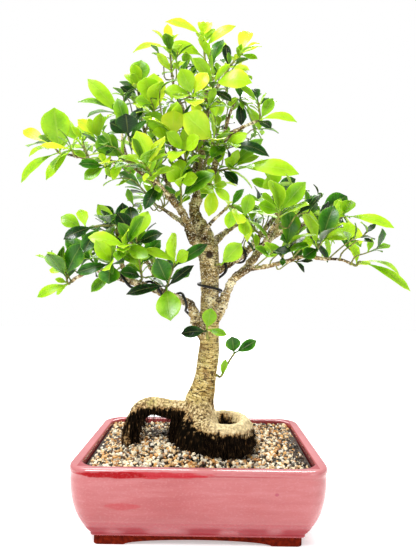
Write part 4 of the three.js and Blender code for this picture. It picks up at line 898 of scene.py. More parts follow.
tint = over(between(cloud(place, 320, 3), 0.56, 0.72, 0, 0.5), tint, (0.9, 0.82, 0.66))
rock_finish = {
    "Base Color": tint,
    "Roughness": between(speckle, 0.3, 0.7, 0.6, 0.9),
    "Normal": bumps(speckle, 0.0004),
}
connect(shader, rock_finish)
grains.data.materials.append(rock)
for piece in (bed, grains):
    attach(piece, "root")
    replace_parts(piece, "gravel")

# Training wire: one length of black annealed aluminium wire, 2.5 mm thick. It is wound by hand along
# the low left branch, once round the trunk and up the right branch, and is left there. It is drawn a
# fifth thicker, as it looks in the photograph. A turn is (limb, its places, angles in degrees, points).
wire_radius = 1.25
drawn_wire_radius = wire_radius * 1.22
wire_route = [
    ("low_left", 7.5, 3.1, 990, 90, 20),
    ("low_left", 2.85, 1.5, 35, -150, 7),
    ("trunk", 6.25, 6.84, 255, 135, 4),
    ("trunk", 6.87, 6.9, 105, 80, 2),
    ("trunk", 6.93, 7.25, 50, -200, 7),
    ("right_upper", 1, 5.2, 90, -720, 19),
]


def square_to(direction, ahead):
    """The part of a direction that is square to another one, with length 1."""
    direction = np.asarray(direction, float)
    return unit(direction - ahead * np.dot(direction, ahead))


def sideways(start, ahead, turn):
    """The direction square to ahead that starts on one side and is turned round ahead by an angle."""
    side = square_to(start, ahead)
    return side * math.cos(turn) + np.cross(ahead, side) * math.sin(turn)


wire_points = []
for limb, start, end, start_angle, end_angle, count in wire_route:
    for i in range(count):
        share = i / (count - 1)
        centre, ahead, radius = on_limb(limbs[limb], start + (end - start) * share)
        angle = math.radians(start_angle + (end_angle - start_angle) * share)
        distance = radius * 1.06 + 0.9 + wire_radius
        wire_points.append(centre + distance * sideways((0, -1, 0), ahead, angle))
ends = [2 * wire_points[0] - wire_points[1], *wire_points, 2 * wire_points[-1] - wire_points[-2]]
wire_line = []
for a, b, c, d in zip(ends, ends[1:], ends[2:], ends[3:]):
    ab, bc, cd = (math.sqrt(np.linalg.norm(q - p)) for p, q in ((a, b), (b, c), (c, d)))
    leave = ((b - a) / ab - (c - a) / (ab + bc) + (c - b) / bc) * bc
    arrive = ((c - b) / bc - (d - b) / (bc + cd) + (d - c) / cd) * bc
    for t in np.arange(0, 1, 0.1):
        bend = (3 * (c - b) - 2 * leave - arrive) * t**2 + (2 * (b - c) + leave + arrive) * t**3
        wire_line.append((*(b + leave * t + bend), 1))
wire_line.append((*wire_points[-1], 1))
wire = add_tube("wound_wire", wire_line, drawn_wire_radius, 3)
select_only(wire)
bpy.ops.object.convert(target="MESH")
bpy.ops.object.shade_smooth_by_angle(angle=math.radians(50))
black_wire, shader, place = start_material("black_annealed_aluminium")
rub = cloud(place, 260, 4, (1, 1, 0.4))
wire_finish = {
    "Base Color": colours(
        rub, (0.4, 0.003, 0.0028, 0.0025), (0.68, 0.01, 0.009, 0.008), (0.8, 0.06, 0.057, 0.053)
    ),
    "Roughness": between(rub, 0.3, 0.7, 0.4, 0.6),
    "Metallic": 0.4,
    "Normal": bumps(rub, 0.0001),
}
connect(shader, wire_finish)
wire.data.materials.clear()
wire.data.materials.append(black_wire)
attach(wire, "root")
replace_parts(wire, "training_wire")

# Leafy shoots: each is a green twig with its leaves, leathery, pointed and folded along the midrib.
# A shoot is (name, limb, place on it, end of its twig, leaves grown round it, how light they are, and
# its own leaves as x, y, z of the tip, share along the twig, width, lean to the viewer, bow, tone).
# Lightness and tone are partly each leaf's own green and partly painted shade: shoots inside, low and at the
# back of the crown get darker leaves.
shoots = [
    ("crown_tip", "trunk", 19, (-4, 11, 565), 1, 0.8, [(-49, 2, 583, 0.95, 17, 0.7, 0.1, 0.9),
        (7, 6, 582, 1, 9, 0.8, 0.04, 1), (36, -4, 578, 0.5, 14, 0.8, 0.14, 0.85),
        (-48, -8, 549, 0.12, 21, 0.8, 0.16, 0.68)]),
    ("crown_left", "top_left", 4, (-44, -2, 552), 5, 0.8, [(-47, -6, 579, 1, 11, 1, 0.02, 1),
        (-88, -12, 546, 0.85, 14, 0.6, 0.12, 0.85), (-59, -16, 543, 0.25, 11, 0.9, 0.05, 0.9)]),
    ("crown_right", "top_right", 3, (45, -2, 544), 3, 0.8, [(65, -4, 557, 1, 10, 0.8, 0.06, 1),
        (63, -10, 537, 0.85, 9, 0.8, 0.05, 0.6), (53, -12, 524, 0.3, 10, 0.8, 0.05, 0.9),
        (24, 4, 555, 0.2, 11, 0.9, 0.05, 0.02)]),
    ("crown_front", "top_right", 0.9, (10, -12, 505), 4, 0.6, [(56, -28, 509, 1, 27, 0.85, 0.14, 0.8),
        (32, -20, 484, 0.55, 12, 0.7, 0.08, 0.05), (-14, -34, 538, 0.9, 18, 0.8, 0.06, 0.6)]),
    ("crown_near", "top_front", 2.2, (-14, -44, 490), 3, 0.6, [(-30, -56, 524, 1, 20, 0.9, 0.05, 0.65),
        (2, -50, 520, 0.9, 18, 0.8, 0.08, 0.95), (-50, -52, 496, 0.8, 18, 0.8, 0.08, 0.6)]),
    ("back_high_tip", "back_high", 2, (18, 104, 462), 9, 0.5, []),
    ("crown_back", "top_back", 2, (10, 84, 536), 9, 0.5, []),
    ("upper_right_tip", "up_right", 6, (64, -8, 484), 1, 0.5, [(41, -14, 506, 1, 9, 0.8, 0.08, 0.55),
        (82, -14, 489, 0.3, 14, 1, 0.05, 0.5), (111, -20, 462, 0.16, 14, 0.7, 0.16, 0.75),
        (80, -22, 453, 0.02, 13, 0.7, 0.06, 0.08)]),
    ("upper_right_fork", "up_right_fork", 3, (50, 12, 480), 5, 0.5, [
        (40, 0, 514, 0.6, 12, 0.9, 0.04, 0.3)]),
    ("upper_right_arc", "up_right", 3.4, (28, -18, 426), 2, 0.55, [(78, -32, 419, 1, 15, 0.75, 0.2, 0.15),
        (51, -28, 442, 0.7, 14, 0.8, 0.05, 0.75)]),
    ("upper_right_face", "up_right", 2.7, (11, -28, 435), 3, 0.6, [
        (-26, -52, 468, 1, 33, 0.95, 0.06, 0.88)]),
    ("upper_right_long", "up_right", 1.8, (42, -16, 402), 3, 0.6, [(114, -30, 397, 1, 22, 0.8, 0.14, 0.72),
        (25, -28, 414, 0.8, 13, 0.9, 0.04, 0.6), (40, -26, 385, 0.45, 13, 0.8, 0.06, 0.12),
        (70, -26, 440, 0.7, 16, 0.8, 0.08, 0.4)]),
    ("upper_right_inner", "up_right", 0.9, (11, -10, 380), 3, 0.6, [(31, -20, 363, 1, 12, 0.8, 0.1, 0.75),
        (28, -18, 383, 0.9, 11, 0.8, 0.05, 0.72), (4, -36, 402, 0.6, 14, 0.9, 0.05, 0.7)]),
    ("upper_left_back", "left_back", 4, (-80, 16, 500), 4, 0.6, [(-78, 12, 534, 0.9, 25, 1, 0.05, 0.5),
        (-102, 6, 501, 0.3, 15, 0.8, 0.1, 0.15)]),
    ("upper_left_high", "leader_left", 4, (-61, -34, 478), 6, 0.6, [(-62, -46, 518, 0.3, 27, 1, 0.05, 0.9),
        (-84, -42, 486, 0.9, 16, 0.8, 0.06, 0.55)]),
    ("upper_left_round", "leader_left", 2, (-37, -34, 440), 5, 0.6, [(-38, -42, 473, 1, 28, 1, 0.05, 0.97),
        (-72, -44, 468, 0.9, 22, 0.9, 0.06, 0.5), (-62, -56, 446, 0.6, 17, 0.9, 0.06, 0.7)]),
    ("upper_left_long", "left_middle", 3, (-104, 2, 468), 1, 0.6, [
        (-142, -6, 509, 0.4, 19, 0.9, 0.08, 0.62), (-153, 8, 481, 0.9, 12, 0.6, 0.14, 0.5)]),
    ("upper_left_dark", "left_front", 2, (-92, -48, 444), 2, 0.25, [(-95, -58, 468, 0.5, 25, 1, 0.04, 0.12),
        (-114, -56, 457, 0.7, 18, 0.8, 0.06, 0.1), (-74, -62, 438, 0.5, 18, 0.9, 0.06, 0.15),
        (-106, -52, 487, 1, 16, 0.8, 0.06, 0.45)]),
    ("upper_left_wide", "up_left", 7.2, (-100, -32, 412), 2, 0.6, [
        (-128, -40, 440, 1, 27, 0.9, 0.06, 0.4)]),
    ("upper_left_yellow", "up_left", 8.6, (-128, -16, 440), 2, 0.7, [
        (-153, -22, 460, 1, 13, 0.9, 0.05, 0.95)]),
    ("back_left_tip", "back_left", 3, (-88, 112, 390), 9, 0.5, []),
    ("upper_left_inner", "up_left", 3.6, (-28, -42, 386), 6, 0.6, [(-44, -56, 402, 1, 20, 0.9, 0.05, 0.7),
        (-8, -54, 392, 0.9, 17, 0.9, 0.06, 0.72)]),
    ("upper_left_near", "left_near", 3, (-70, -102, 404), 5, 0.65, []),
    ("upper_left_heart", "leader_left", 0.9, (-24, -40, 424), 5, 0.6, [
        (-6, -58, 441, 0.85, 18, 0.9, 0.06, 0.75), (-46, -56, 446, 0.9, 17, 0.8, 0.06, 0.6)]),
    ("upper_left_low", "up_left", 5.3, (-62, -50, 404), 5, 0.65, [
        (-70, -40, 352, 0.25, 14, 0.9, 0.1, 0.15)]),
    ("far_left_tip", "up_left", 11, (-187, -2, 430), 1, 0.75, [(-181, -22, 474, 0.25, 35, 1, 0.05, 0.56),
        (-219, 6, 447, 1, 15, 0.8, 0.05, 0.95), (-211, -8, 415, 0.8, 12, 0.5, 0.08, 0.8),
        (-220, 2, 383, 0.35, 15, 0.7, 0.12, 0.6)]),
    ("far_left_front", "up_left", 10, (-160, -26, 423), 1, 0.7, [(-197, -34, 427, 1, 12, 0.6, 0.06, 0.97),
        (-189, -38, 386, 0.7, 13, 0.8, 0.1, 0.72)]),
    ("far_left_inner", "up_left", 8.2, (-118, -36, 402), 1, 0.7, [(-143, -44, 387, 1, 15, 0.8, 0.08, 0.5),
        (-150, -50, 406, 0.9, 14, 0.8, 0.06, 0.3)]),
    ("far_left_back", "up_left", 9.4, (-150, 18, 432), 5, 0.7, [(-176, 14, 462, 0.8, 17, 0.9, 0.05, 0.6)]),
    ("low_left_tip", "low_left", 10, (-164, 0, 277), 3, 0.5, [(-196, -6, 246, 0.2, 13, 0.8, 0.12, 0.62),
        (-144, -18, 310, 0.7, 24, 1, 0.05, 0.3), (-182, 2, 278, 1, 10, 0.7, 0.05, 0.8),
        (-185, -6, 300, 0.95, 11, 0.6, 0.06, 0.7)]),
    ("low_left_high", "low_left_up", 4, (-145, -30, 327), 1, 0.45, [
        (-170, -34, 342, 1, 17, 0.8, 0.06, 0.55), (-166, -44, 316, 0.7, 15, 0.8, 0.06, 0.15),
        (-120, -62, 346, 0.45, 25, 0.6, 0.05, 0.3), (-142, -52, 298, 0.6, 18, 0.8, 0.06, 0.25)]),
    ("low_left_bright", "low_left_up", 2.2, (-90, -46, 308), 5, 0.55, [
        (-137, -54, 318, 1, 17, 0.8, 0.1, 0.75)]),
    ("low_left_heart", "low_left", 6.7, (-109, -42, 288), 5, 0.5, [(-111, -50, 262, 1, 24, 1, 0.05, 0.3),
        (-150, -40, 275, 0.8, 14, 0.8, 0.06, 0.2), (-132, -34, 253, 0.4, 13, 0.8, 0.05, 0.45),
        (-128, -72, 314, 0.9, 17, 0.8, 0.06, 0.7)]),
    ("low_left_middle", "low_left", 5.4, (-80, -36, 318), 4, 0.55, [
        (-50, -52, 324, 0.85, 15, 0.8, 0.06, 0.1), (-66, -36, 350, 1, 17, 0.8, 0.04, 0.65),
        (-103, -44, 348, 0.9, 18, 0.8, 0.06, 0.08), (-88, -24, 356, 0.95, 17, 0.8, 0.08, 0.15),
        (-98, -46, 277, 0.3, 16, 0.7, 0.1, 0.2)]),
    ("low_left_stem", "low_left", 4.25, (-32, -34, 290), 1, 0.6, [(-71, -50, 303, 1, 14, 0.6, 0.1, 0.7),
        (-17, -50, 302, 1, 15, 0.9, 0.04, 0.7), (6, -40, 311, 0.75, 14, 0.8, 0.1, 0.25),
        (-11, -38, 286, 0.25, 11, 0.8, 0.06, 0.02), (-54, -46, 293, 0.4, 23, 1, 0.04, 0.28),
        (-37, -52, 220, 0.3, 28, 1, 0.06, 0.5), (-90, -44, 250, 0.34, 13, 0.7, 0.08, 0.03)]),
    ("low_left_back_tip", "low_left_back", 4, (-108, 74, 334), 5, 0.3, []),
    ("low_left_back_mid", "low_left_back", 2.5, (-96, 12, 324), 5, 0.3, []),
    ("low_left_back_low", "low_left", 8, (-138, 26, 294), 5, 0.35, []),
    ("trunk_left", "trunk", 5.5, (6, -22, 211), 0, 0.55, [(11, -30, 235, 1, 17, 1, 0.04, 0.5),
        (-24, -26, 205, 0.7, 14, 0.8, 0.14, 0.1), (30, -28, 204, 0.85, 9, 0.8, 0.1, 0.5)]),
    ("trunk_right", "trunk", 4.2, (40, -6, 184), 0, 0.5, [(36, -14, 202, 0.92, 18, 1, 0.03, 0.3),
        (65, -6, 198, 1, 13, 0.9, 0.08, 0.3), (29, -12, 175, 0.35, 8, 0.9, 0.03, 0.5)]),
    ("trunk_leaf", "trunk", 7.9, (22, -18, 286), 0, 0.6, [(46, -30, 313, 0.9, 21, 1, 0.04, 0.62)]),
    ("right_top_tip", "right_top", 3, (85, -3, 378), 2, 0.55, [(78, -20, 396, 0.8, 27, 1, 0.04, 0.65),
        (110, -4, 391, 1, 14, 0.8, 0.06, 0.15), (57, -4, 389, 0.9, 13, 0.8, 0.06, 0.65)]),
    ("right_yellow", "right_main", 8.6, (111, -6, 350), 4, 0.55, [(95, -24, 368, 1, 26, 1, 0.04, 0.9)]),
    ("right_tip", "right_main", 11, (170, 4, 346), 2, 0.6, [(162, -8, 366, 0.3, 14, 0.8, 0.05, 0.85),
        (228, -21, 334, 1, 15, 0.7, 0.12, 0.75), (188, 0, 310, 0.7, 14, 0.9, 0.05, 0.5),
        (177, -6, 305, 0.15, 14, 0.8, 0.06, 0.4), (170, -16, 313, 0.5, 13, 0.8, 0.06, 0.25)]),
    ("right_low_tip", "right_low", 7, (188, -55, 293), 1, 0.7, [(247, -60, 259, 0.9, 11, 0.7, 0.12, 0.62)]),
    ("right_low_mid", "right_low", 4.6, (142, -58, 316), 5, 0.4, [
        (120, -62, 297, 0.5, 15, 0.8, 0.08, 0.3)]),
    ("right_low_inner", "right_low", 2.8, (100, -56, 312), 5, 0.35, [
        (70, -52, 302, 0.7, 17, 0.8, 0.08, 0.5)]),
    ("right_dark", "right_main", 9.4, (129, -10, 318), 4, 0.25, [(134, -18, 338, 1, 18, 1, 0.04, 0.15)]),
    ("right_near", "right_front", 3, (92, -78, 352), 6, 0.6, [(66, -84, 360, 0.7, 16, 0.8, 0.06, 0.5)]),
    ("right_back_tip", "right_back", 3, (146, 82, 340), 5, 0.5, []),
    ("right_back_mid", "right_back", 1.7, (130, 30, 330), 5, 0.5, []),
    ("right_upper_tip", "right_upper", 8, (106, 60, 342), 6, 0.5, []),
    ("right_upper_mid", "right_upper", 5.6, (56, 40, 336), 5, 0.45, []),
    ("back_right_tip", "back_right", 3, (76, 110, 358), 9, 0.4, []),
    ("right_thin", "thin_front", 3, (50, -38, 342), 6, 0.65, [(56, -44, 372, 1, 16, 0.9, 0.05, 0.55),
        (30, -46, 330, 0.5, 14, 0.8, 0.08, 0.6)]),
]
canopy_heart = np.array((-10, 10, 380))
start_side = np.array((0.3, -1, 0.1))
petiole_radius = 0.65
petiole_half_width = 0.9
petiole_share = 0.14
solid_twig_radius = 1.3
twig_radii = (1.5, 1.1)
golden_turn = 2.4
low_corner = np.array(cad_box[0]) * 1000 + 1
high_corner = np.array(cad_box[1]) * 1000 - 1


class Leaf:
    """A blade over the straight line from its root to its tip, bowed up and folded."""

    def __init__(self, root, tip, width, face_to, bow, fold):
        self.root, self.width, self.bow, self.fold = root, width, bow, fold
        self.length = np.linalg.norm(tip - root)
        self.ahead = (tip - root) / self.length
        self.normal = square_to(face_to, self.ahead)
        self.across = np.cross(self.normal, self.ahead)

    def half_width(self, t, shift=1.08, fullness=0.8):
        """Half the width at each share t of the length, with the stalk's first."""
        share = np.clip((t - petiole_share) / (1 - petiole_share), 0, 1)
        blade = self.width / 2 * np.sin(math.pi * share**shift).clip(0) ** fullness
        return np.where(t <= petiole_share, petiole_radius, np.maximum(petiole_radius * (1 - share), blade))

    def lift(self, t, v):
        return self.bow * self.length * 4 * t * (1 - t) + self.fold * np.abs(v)

    def points(self, t, v, offset=0):
        """Points at each share t of the length and v millimetres to the side, raised by the offset."""
        t, v = np.asarray(t, float), np.asarray(v, float)
        up = self.lift(t, v) + offset
        on_line = self.root + (self.length * t)[..., None] * self.ahead
        return on_line + v[..., None] * self.across + up[..., None] * self.normal

    def samples(self):
        t = np.repeat(np.arange(7) / 6, 5)
        return self.points(t, self.half_width(t) * np.tile((-1, -0.5, 0, 0.5, 1), 7))

    def near(self, places, clearance):
        """Whether each place lies over or under the blade within the clearance."""
        away = places - self.root
        t = away @ self.ahead / self.length
        v = away @ self.across
        inside = np.clip(t, 0, 1)
        between_ends = (t >= -clearance / self.length) & (t <= 1 + clearance / self.length)
        between_edges = np.abs(v) <= self.half_width(inside) + clearance
        return between_ends & between_edges & (np.abs(away @ self.normal - self.lift(inside, v)) < clearance)


def twig_line(limb_name, place, end):
    """Four points of a twig, which leaves its limb squarely, or runs on from the limb's end."""
    limb = limbs[limb_name]
    centre, ahead, radius = on_limb(limb, place)
    end = seen(*end)
    at_end = place == len(limb) - 1
    out = ahead if at_end else square_to(end - centre, ahead)
    clear = 0.4 if at_end else radius * 1.08 + 0.4
    second = centre + out * (clear + 4)
    return [centre + out * clear, second, second + (end - second) * 0.55 + (0, 0, 1.5), end]


def on_twig(twig, share):
    return along(twig, share * 3)


def twig_ahead(twig, share, reach=0.03):
    return unit(on_twig(twig, share + reach) - on_twig(twig, share - reach))


def seeded(state):
    """An endless row of even random shares, the same each time for one seed."""
    while True:
        state = (state + 0x6D2B79F5) & 0xFFFFFFFF
        value = ((state ^ (state >> 15)) * (1 | state)) & 0xFFFFFFFF
        value = ((value + (((value ^ (value >> 7)) * (61 | value)) & 0xFFFFFFFF)) ^ value) & 0xFFFFFFFF
        yield (value ^ (value >> 14)) / 4294967296


class Solids:
    """Balls of wood, wire and twig, each with its owner, whose own leaves may touch it."""

    def __init__(self):
        self.points, self.girths, self.owners = np.empty((0, 3)), np.empty(0), np.empty(0, int)

    def add(self, points, radius, owner):
        self.points = np.concatenate((self.points, points))
        self.girths = np.append(self.girths, np.broadcast_to(radius, len(points)))
        self.owners = np.append(self.owners, np.full(len(points), owner))


class Foliage:
    """The leaves so far, each with its owner, its middle, its reach and points all over it."""

    def __init__(self):
        self.leaves, self.owners, self.middles, self.spans, self.samples = [], [], [], [], []

    def add(self, leaf, owner):
        self.leaves.append(leaf)
        self.owners.append(owner)
        self.middles.append(leaf.root + leaf.ahead * leaf.length / 2)
        self.spans.append(leaf.length * 0.6)
        self.samples.append(leaf.samples())

    def is_clear(self, leaf, owner, off_wood=1.5, off_siblings=1.2, off_others=3):
        """Whether a leaf stays off the wood, the wire, other twigs and every leaf so far."""
        samples = leaf.samples()
        others = solids.owners != owner
        if np.any(leaf.near(solids.points[others], solids.girths[others] + off_wood)):
            return False
        gaps = np.linalg.norm(np.array(self.middles) - leaf.root - leaf.ahead * leaf.length / 2, axis=1)
        for i in np.flatnonzero(gaps < np.array(self.spans) + leaf.length * 0.6 + 2 * off_others):
            clearance, first = (off_siblings, 10) if self.owners[i] == owner else (off_others, 0)
            if np.any(self.leaves[i].near(samples[first:], clearance)):
                return False
            if np.any(leaf.near(self.samples[i][first:], clearance)):
                return False
        return True


solids = Solids()
for limb in limbs.values():
    spots = [on_limb(limb, i / 4) for i in range((len(limb) - 1) * 4 + 1)]
    solids.add([centre for centre, _, _ in spots], [radius for _, _, radius in spots], -1)
solids.add(wire_points, wire_radius, -1)
foliage = Foliage()
twigs = []
grown = []
for number, (name, limb, place, end, more, light, leaves) in enumerate(shoots):
    twig = twig_line(limb, place, end)
    twigs.append(twig)
    solids.add([on_twig(twig, s / 8) for s in range(9)], solid_twig_radius, number)
    own_leaves = []
    for x, y, z, share, width, lean, bow, tone in leaves:
        face_to = np.array((0, -lean, 1.05 - lean))
        own_leaves.append(Leaf(on_twig(twig, min(share, 0.94)), seen(x, y, z), width, face_to, bow, 0.2))
        foliage.add(own_leaves[-1], number)
    grown.append(own_leaves)
for number, (name, limb, place, end, more, light, leaves) in enumerate(shoots):
    twig = twigs[number]
    random = seeded(7 + 31 * number)
    turn = 2 * math.pi * next(random)
    for i in range(more):
        share = min(0.35 + 0.65 * (i + 1) / more, 0.94)
        root = on_twig(twig, share)
        ahead = twig_ahead(twig, share)
        length = (34 + 20 * next(random)) * (1.1 - 0.3 * share)
        width = length * (0.42 + 0.12 * next(random))
        bow = 0.02 + 0.12 * next(random)
        face_to = np.array((0, -1.2 * next(random), 1))
        face_to = face_to + unit(root - canopy_heart) * 0.9 * next(random)
        turn += golden_turn
        for shift in (0, 0.5, -0.5, 1, -1, 1.6, -1.6, 2.4):
            radial = sideways(start_side, ahead, turn + shift)
            direction = unit(ahead * (0.45 + 0.6 * share) + radial * (1.1 - 0.45 * share) + (0, 0, 0.1))
            leaf = Leaf(root, root + direction * length, width, face_to, bow, 0.25)
            if foliage.is_clear(leaf, number):
                grown[number].append(leaf)
                foliage.add(leaf, number)
                break

leaf_green, shader, place = start_material("fig_leaf")
uv = add_node(place.id_data, "UVMap", uv_map="blade").outputs["UV"]
across, onward, _ = parts_of(uv)
off_rib = maths("ABSOLUTE", minus(across, 0.5))
patchy = cloud(place, 60, 4)
speck = cloud(place, 420, 3)
mixed_tone = plus(stored(place, "tone"), times(minus(patchy, 0.5), 0.4))
# Each leaf is painted darker by the midrib and lighter towards its margin: painted shade and light from the
# fold.
mixed_tone = plus(mixed_tone, between(off_rib, 0, 0.5, -0.06, 0.06))
tint = colours(
    mixed_tone, (0.0, 0.002, 0.012, 0.001), (0.15, 0.006, 0.04, 0.002), (0.3, 0.03, 0.14, 0.003),
    (0.5, 0.2, 0.41, 0.008), (0.65, 0.34, 0.57, 0.012), (0.8, 0.42, 0.71, 0.018), (1.0, 0.7, 0.84, 0.03)
)
bright = over(0.17, tint, (0.8, 0.9, 0.25))
pale_and_backlit_edge = over(0.4, tint, (0.85, 0.93, 0.3))
rib = between(off_rib, 0.028, 0.006)
slant = minus(onward, times(off_rib, 0.55))
veins = between(maths("SINE", times(slant, 62)), 0.8, 1.0)
vein_mask = maths("MAXIMUM", rib, times(veins, 0.22))
tint = over(times(vein_mask, 0.6), tint, bright)
tint = over(times(stored(place, "under"), 0.18), tint, bright)
# A pale margin round each leaf: partly the leaf's own paler edge, partly painted light shining through the
# thin edge.
tint = over(between(off_rib, 0.46, 0.5, 0, 0.75), tint, pale_and_backlit_edge)
tint = over(between(speck, 0.68, 0.74, 0, 0.25), tint, (0.16, 0.2, 0.02))
leaf_finish = {
    "Base Color": tint,
    "Roughness": between(patchy, 0.3, 0.7, 0.2, 0.38),
    "Normal": bumps(plus(speck, times(vein_mask, -1.2)), 0.0002, 0.7),
    "Specular IOR Level": 0.24,
    "Subsurface Weight": 0.2,
    "Subsurface Radius": (0.6, 1.0, 0.1),
    "Subsurface Scale": 0.0015,
}
connect(shader, leaf_finish)
twig_bark, shader, place = start_material("young_twig_bark")
streaks = cloud(place, 300, 4, (1, 1, 0.5))
twig_finish = {
    "Base Color": colours(
        streaks, (0.35, 0.08, 0.07, 0.01), (0.55, 0.23, 0.24, 0.035), (0.75, 0.42, 0.42, 0.09)
    ),
    "Roughness": between(streaks, 0.3, 0.7, 0.5, 0.75),
    "Normal": bumps(streaks, 0.0003),
}
connect(shader, twig_finish)


def blank_blade(lanes, stations):
    """Corners as (across, share from root to tip, layer) and the faces of a flat two-layer sheet."""
    bpy.ops.mesh.primitive_grid_add(x_subdivisions=lanes, y_subdivisions=stations, size=2)
    sheet = bpy.context.object
    apply_modifier(sheet, "SOLIDIFY", thickness=2, offset=0)
    corners = np.array([vertex.co for vertex in sheet.data.vertices])
    corners[:, 1] = (corners[:, 1] + 1) / 2
    faces = np.array([tuple(reversed(face.vertices)) for face in sheet.data.polygons])
    bpy.data.objects.remove(sheet)
    return corners, faces


def shape_leaf(leaf, blank, rng):
    """The sheet drawn out to a leaf: thickest at the midrib, its edge rippled and its tip curled."""
    across, share, layer = blank.T
    run = (1 - np.cos(math.pi * (7 * share - 1) / 6)) / 2
    t = np.where(share < 1 / 7, share * 7 * petiole_share, petiole_share + (1 - petiole_share) * run)
    point = np.clip((t - 0.86) / 0.14, 0, 1)
    half = np.maximum(leaf.half_width(t, 1.27, 0.66) * (1 - 0.42 * point**2 * (3 - 2 * point)), 0.16)
    half = np.maximum(half, petiole_half_width * np.clip(1 - (t - petiole_share) / 0.1, 0, 1))
    v = half * np.sin(across * math.pi / 2)
    blade = np.clip((t - petiole_share) / 0.1, 0, 1) * np.clip((1 - t) / 0.1, 0, 1)
    wave = rng.uniform(0.2, 0.6) * leaf.width / 20
    ripple = wave * np.sin(t * 15 + rng.uniform(0, 6.3) + 1.3 * np.sign(across)) * across**2 * blade
    curl = leaf.length / 40 * rng.uniform(-1, 2.6) * np.clip((t - 0.55) / 0.45, 0, 1) ** 2
    rounded = leaf.fold * (np.sqrt(v**2 + 2) - np.abs(v) - 0.7) * blade
    cup = -leaf.fold * 0.5 * v**2 / max(leaf.width, 1) * blade
    rib = np.exp(-((v / 0.7) ** 2)) * blade
    thick = 0.19 + 0.26 * np.exp(-((v / 0.9) ** 2)) + 0.3 * (1 - blade)
    thick = thick * np.maximum(np.cos(across * math.pi / 2), 0.25)
    groove = np.where(layer > 0, -0.22, -0.3) * rib
    return leaf.points(t, v, ripple - curl + rounded + cup + layer * thick + groove), t


class Sprays:
    """Twigs and leaves gathered into one mesh, with each leaf's tone and its two sides."""

    def __init__(self):
        self.corners, self.faces, self.uvs, self.tones, self.unders, self.kinds = [], [], [], [], [], []
        self.count = 0

    def add(self, corners, faces, uvs, tone, unders, kind):
        self.faces += [tuple(int(i) + self.count for i in face) for face in faces]
        self.kinds += [kind] * len(faces)
        self.corners.append(corners)
        self.uvs.append(uvs)
        self.tones.append(np.full(len(corners), tone))
        self.unders.append(unders)
        self.count += len(corners)

    def add_leaf(self, leaf, blank, tone, rng):
        """A leaf with its tone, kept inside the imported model's box."""
        sheet, faces = blank
        corners, t = shape_leaf(leaf, sheet, rng)
        corners = np.clip(corners, low_corner - 1, high_corner + 1)
        uvs = np.stack((0.5 + 0.5 * sheet[:, 0], t), axis=1)
        self.add(corners, faces, uvs, min(max(tone, 0.03), 1), (sheet[:, 2] < 0).astype(float), 0)

    def add_twig(self, twig, steps, sides, first_radius, last_radius):
        """A twig with a flared foot that is sunk into what it grows from."""
        side = start_side
        rings = []
        for s in range(steps + 1):
            share = s / steps
            ahead = twig_ahead(twig, share, 0.02)
            side = square_to(side, ahead)
            radius = first_radius + (last_radius - first_radius) * share
            radius *= 1 + 0.1 * math.sin(27 * share + first_radius * 90)
            for sunk in (2.6, 0) if s == 0 else (0,):
                for i in range(sides):
                    out = sideways(side, ahead, 2 * math.pi * i / sides)
                    rings.append(on_twig(twig, share) - sunk * ahead + radius * (1 + 0.2 * sunk) * out)
        faces = [tuple(reversed(range(sides))), tuple(range((steps + 1) * sides, (steps + 2) * sides))]
        for s in range(steps + 1):
            for i in range(sides):
                a, b = s * sides + i, s * sides + (i + 1) % sides
                faces.append((a, b, b + sides, a + sides))
        blank = np.zeros(len(rings))
        self.add(np.array(rings), faces, np.stack((blank + 0.5, blank), axis=1), 0.5, blank, 1)

    def finish(self, name):
        piece = mesh_piece(name, np.concatenate(self.corners), self.faces)
        mesh = piece.data
        store(mesh, "tone", np.concatenate(self.tones))
        store(mesh, "under", np.concatenate(self.unders))
        corner_of_loop = np.empty(len(mesh.loops), int)
        mesh.loops.foreach_get("vertex_index", corner_of_loop)
        uvs = np.concatenate(self.uvs)[corner_of_loop]
        mesh.uv_layers.new(name="blade").data.foreach_set("uv", uvs.ravel().astype(np.float32))
        mesh.polygons.foreach_set("material_index", self.kinds)
        mesh.materials.append(leaf_green)
        mesh.materials.append(twig_bark)
        select_only(piece)
        bpy.ops.object.shade_smooth()
        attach(piece, "root")
        return piece


fine_blank = blank_blade(8, 14)
for number, (name, limb, place, end, more, light, leaves) in enumerate(shoots):
    spray = Sprays()
    spray.add_twig(twigs[number], 14, 8, *twig_radii)
    rng = np.random.default_rng(500 + number)
    for i, leaf in enumerate(grown[number]):
        tone = leaves[i][7] if i < len(leaves) else light + rng.uniform(-0.26, 0.36)
        spray.add_leaf(leaf, fine_blank, tone, rng)
    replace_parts(spray.finish("leafy_shoot_" + name), "shoot_" + name)

# Small leaves: the young and the hidden leaves that fill each shoot between its large leaves.
# They have the same form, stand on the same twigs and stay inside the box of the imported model.
coarse_blank = blank_blade(4, 6)


def young_leaf(twig, share, turn, lean, lengths, rise, rng):
    """A small leaf at a share of a twig, turned round it, whose lean and length are drawn."""
    root = on_twig(twig, share)
    ahead = twig_ahead(twig, share)
    direction = unit(ahead * rng.uniform(*lean) + sideways(start_side, ahead, turn) + (0, 0, rise))
    length = rng.uniform(*lengths)
    face_to = np.array((0, -rng.uniform(0, 1.3), 1)) + unit(root - canopy_heart) * rng.uniform(0, 0.9)
    return Leaf(root, root + direction * length, length * rng.uniform(0.42, 0.55), face_to, 0.07, 0.22)


def keeps_in_box(tip):
    return np.all(tip >= low_corner) and np.all(tip <= high_corner)


def add_if_clear(spray, leaf, owner, off_wood, light, tones, rng):
    """Adds a small leaf if it is inside the tree's box and clear of everything. Says whether it is."""
    fits = keeps_in_box(leaf.root + leaf.ahead * leaf.length * 1.02)
    if fits and foliage.is_clear(leaf, owner, off_wood, 0.7, 0.9):
        foliage.add(leaf, owner)
        spray.add_leaf(leaf, coarse_blank, light + rng.uniform(*tones), rng)
        return True
    return False


